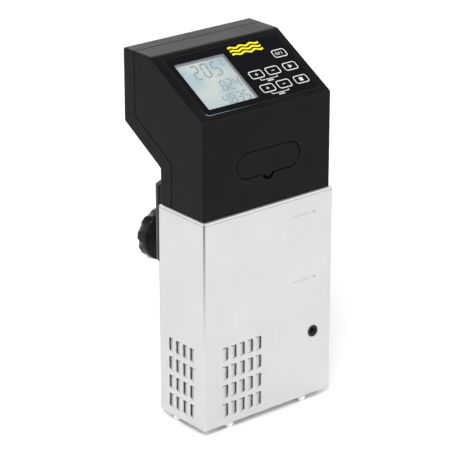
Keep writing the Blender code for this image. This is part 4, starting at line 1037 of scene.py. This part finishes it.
def make_front_shell():
    behind = seam_line(REAR_COVER_DEPTH + SEAM_HALF) + [(CUT_FAR, CUT_HIGH), (CUT_FAR, CUT_LOW)]
    shell = new_head_half("head_front_shell", behind)
    bosses, pilots = [], []
    for x, z in cover_screw_places():
        side = 1 if x > 0 else -1
        near, far = sorted((x - side * BOSS_HALF, side * (HEAD_WIDTH / 2 - WALL / 2)))
        bosses.append(((near, BOSS_FRONT, z - BOSS_HALF), (far, BOSS_BACK, z + BOSS_HALF)))
        pilots.append(((x, PILOT_START, z), (x, PILOT_END, z)))
    add(shell, boxes("screw_bosses", bosses))
    margin = Vector((GAP, GAP))
    recess = rounded_rectangle(OVERLAY_LOW - margin, OVERLAY_HIGH + margin, OVERLAY_CORNER + GAP)
    floor = OVERLAY_TOP - OVERLAY_THICKNESS - GAP
    window = rounded_rectangle(WINDOW_LOW, WINDOW_HIGH, WINDOW_CORNER, 4)
    openings = [window] + [key_outline(name, GAP) for name in KEY_PLACES]
    hatch_hole = stadium(HATCH_CENTRE, HATCH_WIDTH + 2 * HATCH_CLEARANCE, HATCH_HEIGHT + 2 * HATCH_CLEARANCE)
    notch = (HATCH_CENTRE.x, HATCH_CENTRE.y - HATCH_HEIGHT / 2 + LIP_RISE)
    notch_ends = ((notch[0], -CUT_FRONT, notch[1]), (notch[0], HEAD_FRONT + NOTCH_DEPTH, notch[1]))
    cut(
        shell,
        rods("boss_holes", pilots, COVER_SCREW_SHANK + GAP, 24),
        outline_solid("overlay_recess", [recess], floor, CUT_NEAR, place=PANEL),
        outline_solid("panel_openings", openings, -CUT_NEAR, CUT_NEAR, place=PANEL),
        outline_solid("hatch_opening", [hatch_hole], -CUT_FRONT, CUT_FRONT, FACING_FRONT),
        rods("pry_notch", [notch_ends], NOTCH_RADIUS, 64),
    )
    dress(shell, FINISHES["black_plastic"], "front_housing")


def make_rear_shell():
    ahead = seam_line(REAR_COVER_DEPTH - SEAM_HALF) + [(-CUT_SIDE, CUT_HIGH), (-CUT_SIDE, CUT_LOW)]
    shell = new_head_half("head_rear_shell", ahead[::-1])
    slots = []
    for i in range(AIR_SLOTS):
        x = AIR_SLOT_START + i * AIR_SLOT_PITCH
        end_radius = AIR_SLOT_WIDTH / 2 - AIR_SLOT_MARGIN
        slots.append(rounded_rectangle((x, AIR_SLOT_LOW), (x + AIR_SLOT_WIDTH, AIR_SLOT_HIGH), end_radius))
    reach = INLET_BODY / 2 + Vector((GAP, GAP))
    low, high = INLET_CENTRE - reach, INLET_CENTRE + reach
    slots.append(rectangle(tuple(low), tuple(high)))
    places = cover_screw_places()
    seats = [((x, HEAD_REAR - SCREW_SEAT, z), (x, HEAD_REAR + CUT_SEAT, z)) for x, z in places]
    start, end = REAR_WALL_CUT
    holes = [((x, start, z), (x, end, z)) for x, z in places]
    cut(
        shell,
        outline_solid("rear_openings", slots, -end, -start, FACING_FRONT),
        rods("screw_seats", seats, COVER_SCREW_HEAD + GAP),
        rods("cover_screw_holes", holes, COVER_SCREW_SHANK + GAP, 24),
    )
    dress(shell, FINISHES["black_plastic"], "rear_housing")


def make_hatch():
    outline = stadium(HATCH_CENTRE, HATCH_WIDTH, HATCH_HEIGHT)
    back = -(HEAD_FRONT + HATCH_THICKNESS)
    hatch = outline_solid("hatch_cover", [outline], back, -HEAD_FRONT, FACING_FRONT)
    bevel(hatch, HATCH_ROUNDING, 3, radians(60))
    lip_height = HATCH_CENTRE.y - HATCH_HEIGHT / 2 + LIP_RISE
    start = (HATCH_CENTRE.x, HEAD_FRONT + LIP_SINK, lip_height)
    end = (HATCH_CENTRE.x, HEAD_FRONT + LIP_THICKNESS, lip_height)
    add(hatch, rods("hatch_lip", [(start, end)], LIP_RADIUS))
    dress(hatch, FINISHES["black_plastic"], "service_hatch", body="hatch")


# ---------------------------------------------------------------- control panel


def make_film():
    overlay = rounded_rectangle(OVERLAY_LOW, OVERLAY_HIGH, OVERLAY_CORNER)
    window = rounded_rectangle(WINDOW_LOW, WINDOW_HIGH, WINDOW_CORNER, 4)
    outlines = [overlay, window] + [key_outline(name, GAP) for name in KEY_PLACES]
    low = OVERLAY_TOP - OVERLAY_THICKNESS
    film = outline_solid("control_film", outlines, low, OVERLAY_TOP, place=PANEL)
    bevel(film, FILM_ROUNDING, 2, radians(60))
    dress(film, FINISHES["panel_gloss"], "panel_overlay")


def make_film_edge():
    """The film's edge with painted highlights: a faint line all round, brighter at the lower left."""
    dim = [rounded_rectangle(OVERLAY_LOW + reach, OVERLAY_HIGH - reach, OVERLAY_CORNER) for reach in EDGE_LINE]
    print_and_painted_light_layer("film_edge", dim, EDGE_SHEEN_INK)
    glint = []
    for reach in GLINT_LINE:
        low = OVERLAY_LOW + reach
        corner = (low.x + OVERLAY_CORNER, low.y + OVERLAY_CORNER)
        glint.append(arc(corner, OVERLAY_CORNER, 190, 270, 10))
    glint[0].append((GLINT_END, OVERLAY_LOW.y + GLINT_LINE[0].y))
    print_and_painted_light_layer("film_glint", [glint[0] + glint[1][::-1]], GLINT_INK, OVERLAY_TOP + INK)


def make_window():
    border = Vector((GAP, GAP))
    outline = rounded_rectangle(WINDOW_LOW + border, WINDOW_HIGH - border, WINDOW_CORNER, 4)
    window = outline_solid("clear_window", [outline], OVERLAY_TOP - WINDOW_THICKNESS, OVERLAY_TOP, place=PANEL)
    bevel(window, WINDOW_ROUNDING, 1, radians(60))
    dress(window, FINISHES["window_clear"], "display_window")


def print_and_painted_light_layer(name, outlines, finish, height=OVERLAY_TOP, body="root"):
    """A thin layer on the panel, for print and for painted highlights and shade."""
    printed = outline_solid(name, outlines, height - INK, height + INK, place=PANEL)
    return dress(printed, finish, body=body)


def moved(points, dx, dy):
    return [(x + dx, y + dy) for x, y in points]


def make_keys():
    for name, (x, y) in KEY_PLACES.items():
        cap = outline_solid(f"{name}_cap", [key_outline(name)], -WALL, OVERLAY_TOP, place=PANEL)
        bevel(cap, KEY_ROUNDING, 2, radians(60))
        stem = rods(f"{name}_stem", [((x, y, KEY_STEM_END), (x, y, -WALL / 2))], KEY_STEM_RADIUS, 32, PANEL)
        add(cap, stem)
        dress(cap, FINISHES["panel_gloss"], name, body=name)
        ring = [key_outline(name, -KEY_LINE_INSET), key_outline(name, -KEY_LINE_INSET - KEY_LINE)]
        print_and_painted_light_layer(f"{name}_outline", ring, WHITE_INK, body=name)


def plus_outline(reach, half):
    return [
        (half, half), (half, reach), (-half, reach), (-half, half), (-reach, half), (-reach, -half),
        (-half, -half), (-half, -reach), (half, -reach), (half, -half), (reach, -half), (reach, half),
    ]


def power_outlines():
    """An open ring with a bar in its gap, a stroke, and a bar."""
    centre, outer, inner = (-0.0026, 0), 0.0015, 0.0010
    ring = arc(centre, outer, 125, 415, 24) + arc(centre, inner, 415, 125, 24)
    gap_bar = rectangle((-0.0029, 0.0004), (-0.0023, 0.0020))
    stroke = [(-0.0009, -0.0015), (-0.0003, -0.0015), (0.0009, 0.0015), (0.0003, 0.0015)]
    last_bar = rectangle((0.0021, -0.0015), (0.0027, 0.0015))
    return [ring, stroke, gap_bar, last_bar]


def make_symbols():
    reach, half = 0.0015, 0.00035
    symbols = {
        "key_power": power_outlines(),
        "key_start": [[(-0.0015, -0.0020), (0.0020, 0), (-0.0015, 0.0020)]],
        "key_stop": [rectangle((-0.0018, -0.0018), (0.0018, 0.0018))],
    }
    for name in ("key_temp_up", "key_time_up"):
        symbols[name] = [plus_outline(reach, half)]
    for name in ("key_temp_down", "key_time_down"):
        symbols[name] = [rectangle((-reach, -half), (reach, half))]
    for name, outlines in symbols.items():
        x, y = KEY_PLACES[name]
        print_and_painted_light_layer(f"{name}_symbol", [moved(points, x, y) for points in outlines], WHITE_INK, body=name)


def make_pair_print():
    """Brackets that join the paired keys, each with a small plain tab."""
    half = PAIR_LINE / 2
    brackets, tabs = [], []
    for up, down in (("key_temp_up", "key_temp_down"), ("key_time_up", "key_time_down")):
        left, right = KEY_PLACES[up][0], KEY_PLACES[down][0]
        top = KEY_PLACES[up][1] - KEY_HEIGHT / 2 - GAP - PAIR_CLEARANCE
        low = top - PAIR_DROP
        high = low + PAIR_LINE
        brackets.append([
            (left - half, top), (left - half, low), (right + half, low), (right + half, top),
            (right - half, top), (right - half, high), (left + half, high), (left + half, top),
        ])
        middle = (left + right) / 2
        tabs.append(rectangle((middle - TAB_HALF_WIDTH, low - TAB_BOTTOM), (middle + TAB_HALF_WIDTH, low - TAB_TOP)))
    print_and_painted_light_layer("pair_brackets", brackets, WHITE_INK)
    print_and_painted_light_layer("pair_tabs", tabs, TAB_INK)


def make_emblem():
    """A plain emblem of waves."""
    waves = []
    for row in range(WAVE_ROWS):
        middle = WAVE_BOTTOM + row * WAVE_PITCH
        upper, lower = [], []
        for i in range(WAVE_STEPS + 1):
            x = WAVE_LEFT + (WAVE_RIGHT - WAVE_LEFT) * i / WAVE_STEPS
            y = middle + WAVE_SWING * sin(2 * pi * WAVE_CRESTS * i / WAVE_STEPS)
            upper.append((x, y + WAVE_STROKE / 2))
            lower.append((x, y - WAVE_STROKE / 2))
        waves.append(lower + upper[::-1])
    print_and_painted_light_layer("wave_emblem", waves, YELLOW_INK)


# ---------------------------------------------------------------- display


# Each row's characters, their left edges, bottom edge, and (width, height, stroke).
DIGIT_ROWS = (
    ("205", (-0.0400, -0.0303, -0.0199), 0.0463, (0.0075, 0.0161, 0.0018)),
    ("C", (-0.0084,), 0.0556, (0.0038, 0.0056, 0.0008)),
    ("824", (-0.0243, -0.0175, -0.0107), 0.0300, (0.0057, 0.0116, 0.0014)),
    ("4835", (-0.0314, -0.0246, -0.0178, -0.0110), 0.0156, (0.0057, 0.0116, 0.0014)),
)
DECIMAL_POINT = ((-0.0212, 0.0464), 0.0012)
DEGREE_SIGN = ((-0.0088, 0.0616), 0.0010)
COLON_X = -0.0180
COLON_HEIGHTS = (0.0340, 0.0196)
COLON_PITCH = 0.0026
COLON_DOT = 0.0005
SLANT = 0.09
BORDER_OUTSIDE = Vector((0.002, 0.002))
ICON_BARS = (((-0.0377, 0.0311), (-0.0321, 0.0319)), ((-0.0371, 0.0352), (-0.0328, 0.0359)))
SEGMENTS = {"0": "abcdef", "2": "abdeg", "3": "abcdg", "4": "bcfg", "5": "acdfg", "8": "abcdefg", "C": "adef"}


def bar(start, end, width):
    """A bar with pointed ends."""
    start, end = Vector(start), Vector(end)
    along = (end - start).normalized() * width / 2
    side = Vector((-along.y, along.x))
    start, end = start + along * 0.25, end - along * 0.25
    return [start, start + along - side, end - along - side, end, end - along + side, start + along + side]


def digit(character, x, y, width, height, stroke):
    """A seven-segment digit whose lower left corner is at (x, y)."""
    left, right, low, high = stroke / 2, width - stroke / 2, stroke / 2, height - stroke / 2
    middle = height / 2
    ends = {
        "a": ((left, high), (right, high)), "b": ((right, middle), (right, high)), "c": ((right, low), (right, middle)),
        "d": ((left, low), (right, low)), "e": ((left, low), (left, middle)), "f": ((left, middle), (left, high)),
        "g": ((left, middle), (right, middle)),
    }
    outlines = []
    for segment in SEGMENTS[character]:
        points = bar(*ends[segment], stroke)
        outlines.append([(x + p.x + SLANT * p.y, y + p.y) for p in points])
    return outlines


def make_display():
    """Temperature above, clock in the middle and countdown below, all right-aligned."""
    outlines = []
    for characters, starts, bottom, size in DIGIT_ROWS:
        for character, x in zip(characters, starts):
            outlines += digit(character, x, bottom, *size)
    outlines += [square(*DECIMAL_POINT), square(*DEGREE_SIGN)]
    for height in COLON_HEIGHTS:
        for rise in (0, COLON_PITCH):
            outlines.append(square((COLON_X + SLANT * rise, height + rise), COLON_DOT))
    print_and_painted_light_layer("display_digits", outlines, DIGIT_INK, LCD_TOP)
    # A dark blue-grey frame is painted round the display, wider at the top. It stands in for the shade cast by the
    # window's edges.
    outer = (WINDOW_LOW - BORDER_OUTSIDE, WINDOW_HIGH + BORDER_OUTSIDE)
    inner = (WINDOW_LOW + DISPLAY_BORDER, WINDOW_HIGH - DISPLAY_BORDER)
    border = [rectangle(tuple(low), tuple(high)) for low, high in (outer, inner)]
    print_and_painted_light_layer("display_border_shade", border, BORDER_SHADE_INK, LCD_TOP)
    print_and_painted_light_layer("display_icon", [rectangle(*corners) for corners in ICON_BARS], FAINT_DIGIT_INK, LCD_TOP)


# ---------------------------------------------------------------- clamp


def bracket_outline():
    """The bent sheet from the side, as (Y, Z): short leg, top arm, sloping shoulder, long leg."""
    sheet, bend = BRACKET_SHEET, BRACKET_BEND
    inner, outer, top = BRACKET_INNER, BRACKET_OUTER, BRACKET_TOP
    fall_start, fall_end = BRACKET_SHOULDER
    narrowing = sheet * tan(pi / 8)
    points = [(outer, BRACKET_BOTTOM), (outer, fall_end), (fall_start, top)]
    points += arc((inner + bend, top - bend), bend, 90, 180, 12)
    points += [(inner, BRACKET_LEG_BOTTOM), (inner + sheet, BRACKET_LEG_BOTTOM)]
    points += arc((inner + bend, top - bend), bend - sheet, 180, 90, 12)
    points += [(fall_start - narrowing, top - sheet), (outer - sheet, fall_end - narrowing)]
    return points + [(outer - sheet, BRACKET_BOTTOM)]


def make_bracket():
    half = BRACKET_HALF_WIDTH
    bracket = outline_solid("clamp_hook", [bracket_outline()], -half, half, ACROSS_X)
    narrow, taper = BRACKET_TAPER
    slope = (half - narrow) / (taper - BRACKET_BOTTOM)
    side = half + SHEET
    keep = [(narrow - slope * SHEET, BRACKET_BOTTOM - SHEET), (side, taper + SHEET / slope), (side, CUT_FAR)]
    keep += [(-x, z) for x, z in reversed(keep)]
    short_start, short_end = SHORT_LEG_CUT
    long_start, long_end = LONG_LEG_CUT
    intersect(bracket, outline_solid("bracket_sides", [keep], -long_end, -short_start, FACING_FRONT))
    screws = []
    for number in (1, 2):
        centre = body_middle(*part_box(f"bracket_screw_{number}"))
        screws.append(((centre.x, short_start, centre.z), (centre.x, short_end, centre.z)))
    bore = ((0, long_start, CLAMP_HEIGHT), (0, long_end, CLAMP_HEIGHT))
    cut(
        bracket,
        rods("screw_hole", [bore], CLAMP_SCREW_RADIUS + GAP),
        rods("bracket_screw_holes", screws, BRACKET_SCREW_HOLE, 24),
    )
    bevel(bracket, BRACKET_ROUNDING, 2, radians(50))
    dress(bracket, FINISHES["bracket_paint"], "clamp_bracket")


def along_clamp(start):
    """The body frame with its z turned along +Y, at a distance along the clamp's axis."""
    return BODY @ Matrix.Translation((0, start, CLAMP_HEIGHT)) @ Matrix.Rotation(radians(-90), 4, "X")


def make_clamp_screw():
    """A rod whose radius follows a helix, with plain ends."""
    length = CLAMP_SCREW_END - CLAMP_SCREW_START
    sides, rings, plain_end = THREAD_SIDES, THREAD_RINGS, THREAD_PLAIN_END
    bm = bmesh.new()
    rows = []
    for ring in range(rings + 1):
        height = length * ring / rings
        row = []
        for side in range(sides):
            angle = 2 * pi * side / sides
            phase = (height / THREAD_PITCH - angle / (2 * pi)) % 1
            depth = THREAD_DEPTH * abs(2 * phase - 1)
            if height < plain_end or height > length - plain_end:
                depth = THREAD_DEPTH
            radius = CLAMP_SCREW_RADIUS - depth
            row.append(bm.verts.new((radius * cos(angle), radius * sin(angle), height)))
        rows.append(row)
    for first, second in zip(rows, rows[1:]):
        for i in range(sides):
            j = (i + 1) % sides
            bm.faces.new((first[i], first[j], second[j], second[i]))
    bm.faces.new(rows[0][::-1])
    bm.faces.new(rows[-1])
    screw = from_bmesh("clamp_thread", bm, along_clamp(CLAMP_SCREW_START))
    dress(screw, FINISHES["plain_steel"], "clamp_screw", body="clamp_screw", angle=radians(60))


def make_clamp_nut():
    hexagon = [(NUT_RADIUS * cos(pi * i / 3), NUT_RADIUS * sin(pi * i / 3)) for i in range(6)]
    place = along_clamp(BRACKET_OUTER + GAP)
    nut = outline_solid("clamp_hex_nut", [hexagon], 0, NUT_THICKNESS, place=place)
    face, wide, end = NUT_FACE_RADIUS, NUT_CONE_RADIUS, NUT_THICKNESS + NUT_CONE_RISE
    cone = [(0, NUT_CONE_START), (face, NUT_CONE_START), (wide, NUT_CONE_RISE)]
    cone += [(wide, NUT_THICKNESS - NUT_CONE_FALL), (face, end), (0, end)]
    intersect(nut, turned("nut_chamfer", cone, place=place))
    cut(nut, rods("nut_bore", [((0, 0, -CUT_NEAR), (0, 0, CUT_NEAR))], CLAMP_SCREW_RADIUS + GAP, place=place))
    dress(nut, FINISHES["plain_steel"], "clamp_nut")


def make_pressure_pad():
    thickness = PAD_BACK - PAD_FRONT
    bore = CLAMP_SCREW_RADIUS + GAP
    socket = PAD_BACK - CLAMP_SCREW_START + GAP
    inset_by, shoulder = PAD_SHOULDER
    chamfer, chamfer_depth = PAD_NECK_CHAMFER
    profile = [(0, 0), (PAD_RADIUS - PAD_FACE_INSET, 0)]
    profile += arc((PAD_RADIUS - PAD_ROUNDING, PAD_ROUNDING), PAD_ROUNDING, -80, 0, 5)
    profile += [(PAD_RADIUS, PAD_RIM), (PAD_RADIUS - inset_by, shoulder)]
    profile += [(PAD_NECK_RADIUS, thickness - chamfer_depth), (PAD_NECK_RADIUS - chamfer, thickness)]
    profile += [(bore, thickness), (bore, thickness - socket), (0, thickness - socket)]
    pad = turned("pressure_disc", profile, 64, place=along_clamp(PAD_FRONT))
    grooves = []
    for radius in PAD_GROOVES:
        ring = rectangle((radius, -PAD_GROOVE_DEPTH), (radius + PAD_GROOVE_WIDTH, PAD_GROOVE_DEPTH))
        grooves.append(turned("groove", ring, 64, True, along_clamp(PAD_FRONT)))
    cut(pad, *grooves)
    dress(pad, FINISHES["black_rubber"], "pressure_pad", body="clamp_pad")


def make_jaw_pad():
    low, high = (BODY.inverted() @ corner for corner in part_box("jaw_pad"))
    jaw = bevel(boxes("jaw_cushion", [(low, high)]), JAW_ROUNDING, 3)
    past, half = JAW_GROOVE_CUT, JAW_GROOVE_HALF
    grooves = []
    for i in range(1, JAW_RIBS):
        z = low.z + (high.z - low.z) * i / JAW_RIBS
        grooves.append(((low.x - past, high.y - JAW_GROOVE_DEPTH, z - half), (high.x + past, high.y + past, z + half)))
    cut(jaw, boxes("jaw_grooves", grooves))
    dress(jaw, FINISHES["black_rubber"], "jaw_pad")


def make_knob():
    thickness = KNOB_BACK - KNOB_FRONT
    profile = [(0, thickness - KNOB_DISH)]
    profile += [(radius, thickness - depth) for radius, depth in KNOB_BACK_EDGE]
    profile += [(KNOB_RADIUS - inwards, thickness - depth) for inwards, depth in KNOB_SIDE_EDGE]
    profile += [(KNOB_FACE_RADIUS + outwards, depth) for outwards, depth in KNOB_FACE_EDGE]
    profile += [(KNOB_HUB_RADIUS, 0), (KNOB_HUB_RADIUS, -KNOB_HUB_LENGTH), (0, -KNOB_HUB_LENGTH)]
    knob = turned("star_knob", profile, 112, place=along_clamp(KNOB_FRONT))
    start = Vector((0, KNOB_FRONT + SCOOP_START, CLAMP_HEIGHT))
    step = Vector((0, KNOB_BACK, CLAMP_HEIGHT)) - start
    scoops = []
    for i in range(KNOB_SCOOPS):
        angle = KNOB_PHASE + 2 * pi * i / KNOB_SCOOPS
        out = Vector((cos(angle), 0, sin(angle)))
        near = start + out * (KNOB_RADIUS + SCOOP_RADIUS)
        run = step - out * SCOOP_DEPTH
        scoops.append((near - run / 2, near + run * 2))
    bore = ((0, KNOB_FRONT - CUT_NEAR, CLAMP_HEIGHT), (0, CLAMP_SCREW_END + GAP, CLAMP_HEIGHT))
    cut(knob, rods("knob_scoops", scoops, SCOOP_RADIUS, 64))
    bevel(knob, KNOB_ROUNDING, 3, radians(38))
    cut(knob, rods("knob_bore", [bore], CLAMP_SCREW_RADIUS + GAP))
    dress(knob, FINISHES["knob_plastic"], "clamp_knob", body="clamp_screw", angle=radians(40))


# ---------------------------------------------------------------- screws, inlet and reset button


def make_screws():
    """Domed heads with a cross recess, on plain shanks."""
    for kind, (count, radius, height, shank) in SCREWS.items():
        for number in range(1, count + 1):
            node = f"{kind}_{number}"
            low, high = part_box(node)
            length = high.y - low.y - height
            place = Matrix.Translation(((low.x + high.x) / 2, high.y - height, (low.z + high.z) / 2))
            place = place @ Matrix.Rotation(radians(-90), 4, "X")
            profile = [(0, -length), (shank, -length), (shank, 0), (radius, 0), (radius, height * SCREW_RIM)]
            for angle in SCREW_DOME_ANGLES:
                rise = SCREW_RIM + (1 - SCREW_RIM) * sin(radians(angle))
                profile.append((radius * cos(radians(angle)), height * rise))
            profile.append((0, height))
            screw = turned(f"{node}_head", profile, 32, place=place)
            slot, reach = radius * CROSS_HALF, radius * CROSS_REACH
            bottom, top = height - height * CROSS_DEPTH, height + CROSS_CUT
            cross = [((-reach, -slot, bottom), (reach, slot, top)), ((-slot, -reach, bottom), (slot, reach, top))]
            cut(screw, *(boxes(f"{node}_cross_{i}", [corners], place) for i, corners in enumerate(cross)))
            dress(screw, FINISHES["screw_steel"], node)


def make_reset_button():
    low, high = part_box("reset_button")
    radius, length = (high.x - low.x) / 2, high.y - low.y
    place = Matrix.Translation(((low.x + high.x) / 2, high.y, (low.z + high.z) / 2))
    place = place @ Matrix.Rotation(radians(90), 4, "X")
    profile = [(0, 0), (radius, 0)]
    profile += arc((radius - RESET_ROUNDING, length - RESET_SHOULDER), RESET_ROUNDING, 0, 80, 4)
    profile += [(radius * RESET_CROWN, length)]
    profile += [(radius * share, length - depth) for share, depth in RESET_DISH]
    button = turned("reset_plunger", profile, 48, place=place)
    dress(button, FINISHES["reset_red"], "reset_button", body="reset")


# ---------------------------------------------------------------- stage, light and camera


def plain(name, colour, roughness):
    finish = Finish(name, colour, roughness, specular=0.2)
    finish.roughness(finish.noise(3), roughness - 0.05, roughness + 0.05)
    return finish.material


def make_stage():
    bm = bmesh.new()
    bmesh.ops.create_grid(bm, x_segments=1, y_segments=1, size=FLOOR_SIZE)
    floor = from_bmesh("floor", bm, Matrix())
    floor.data.materials.append(plain("floor_white", (0.93, 0.93, 0.93), 0.6))


def aim(obj, place, target):
    obj.location = place
    obj.rotation_euler = (Vector(target) - Vector(place)).to_track_quat("-Z", "Y").to_euler()


def add_light(name, place, size, energy):
    light = bpy.data.lights.new(name, "AREA")
    light.shape = "DISK"
    light.size = size
    light.energy = energy
    aim(new_object(name, light), place, LIGHT_TARGET)


def make_light():
    """A white room that is dimmer overhead, with soft lamps above the left and the right."""
    world = bpy.data.worlds.new("studio")
    bpy.context.scene.world = world
    world.use_nodes = True
    tree = world.node_tree
    background = tree.nodes["Background"]
    background.inputs["Strength"].default_value = 1.0
    coordinates = tree.nodes.new("ShaderNodeTexCoord")
    split = tree.nodes.new("ShaderNodeSeparateXYZ")
    ramp = tree.nodes.new("ShaderNodeValToRGB")
    tree.links.new(coordinates.outputs["Generated"], split.inputs["Vector"])
    tree.links.new(split.outputs["Z"], ramp.inputs["Fac"])
    tree.links.new(ramp.outputs["Color"], background.inputs["Color"])
    elements = ramp.color_ramp.elements
    elements.new(WORLD_LEVELS[1][0])
    for element, (position, level) in zip(elements, WORLD_LEVELS):
        element.position = position
        element.color = (*level, 1)
    for name, (place, size, energy) in LIGHTS.items():
        add_light(name, place, size, energy)


def make_camera():
    data = bpy.data.cameras.new("camera")
    data.lens = CAMERA_LENS
    camera = new_object("camera", data)
    aim(camera, CAMERA_PLACE, CAMERA_TARGET)
    bpy.context.scene.camera = camera


make_camera()
make_light()
make_stage()
finish_cad_nodes()
make_skirt()
make_level_marks()
make_feet()
make_outlet()
make_front_shell()
make_rear_shell()
make_hatch()
make_film()
make_film_edge()
make_window()
make_keys()
make_symbols()
make_pair_print()
make_emblem()
make_display()
make_bracket()
make_clamp_screw()
make_clamp_nut()
make_pressure_pad()
make_jaw_pad()
make_knob()
make_screws()
make_reset_button()

bpy.context.scene.view_settings.view_transform = "Standard"
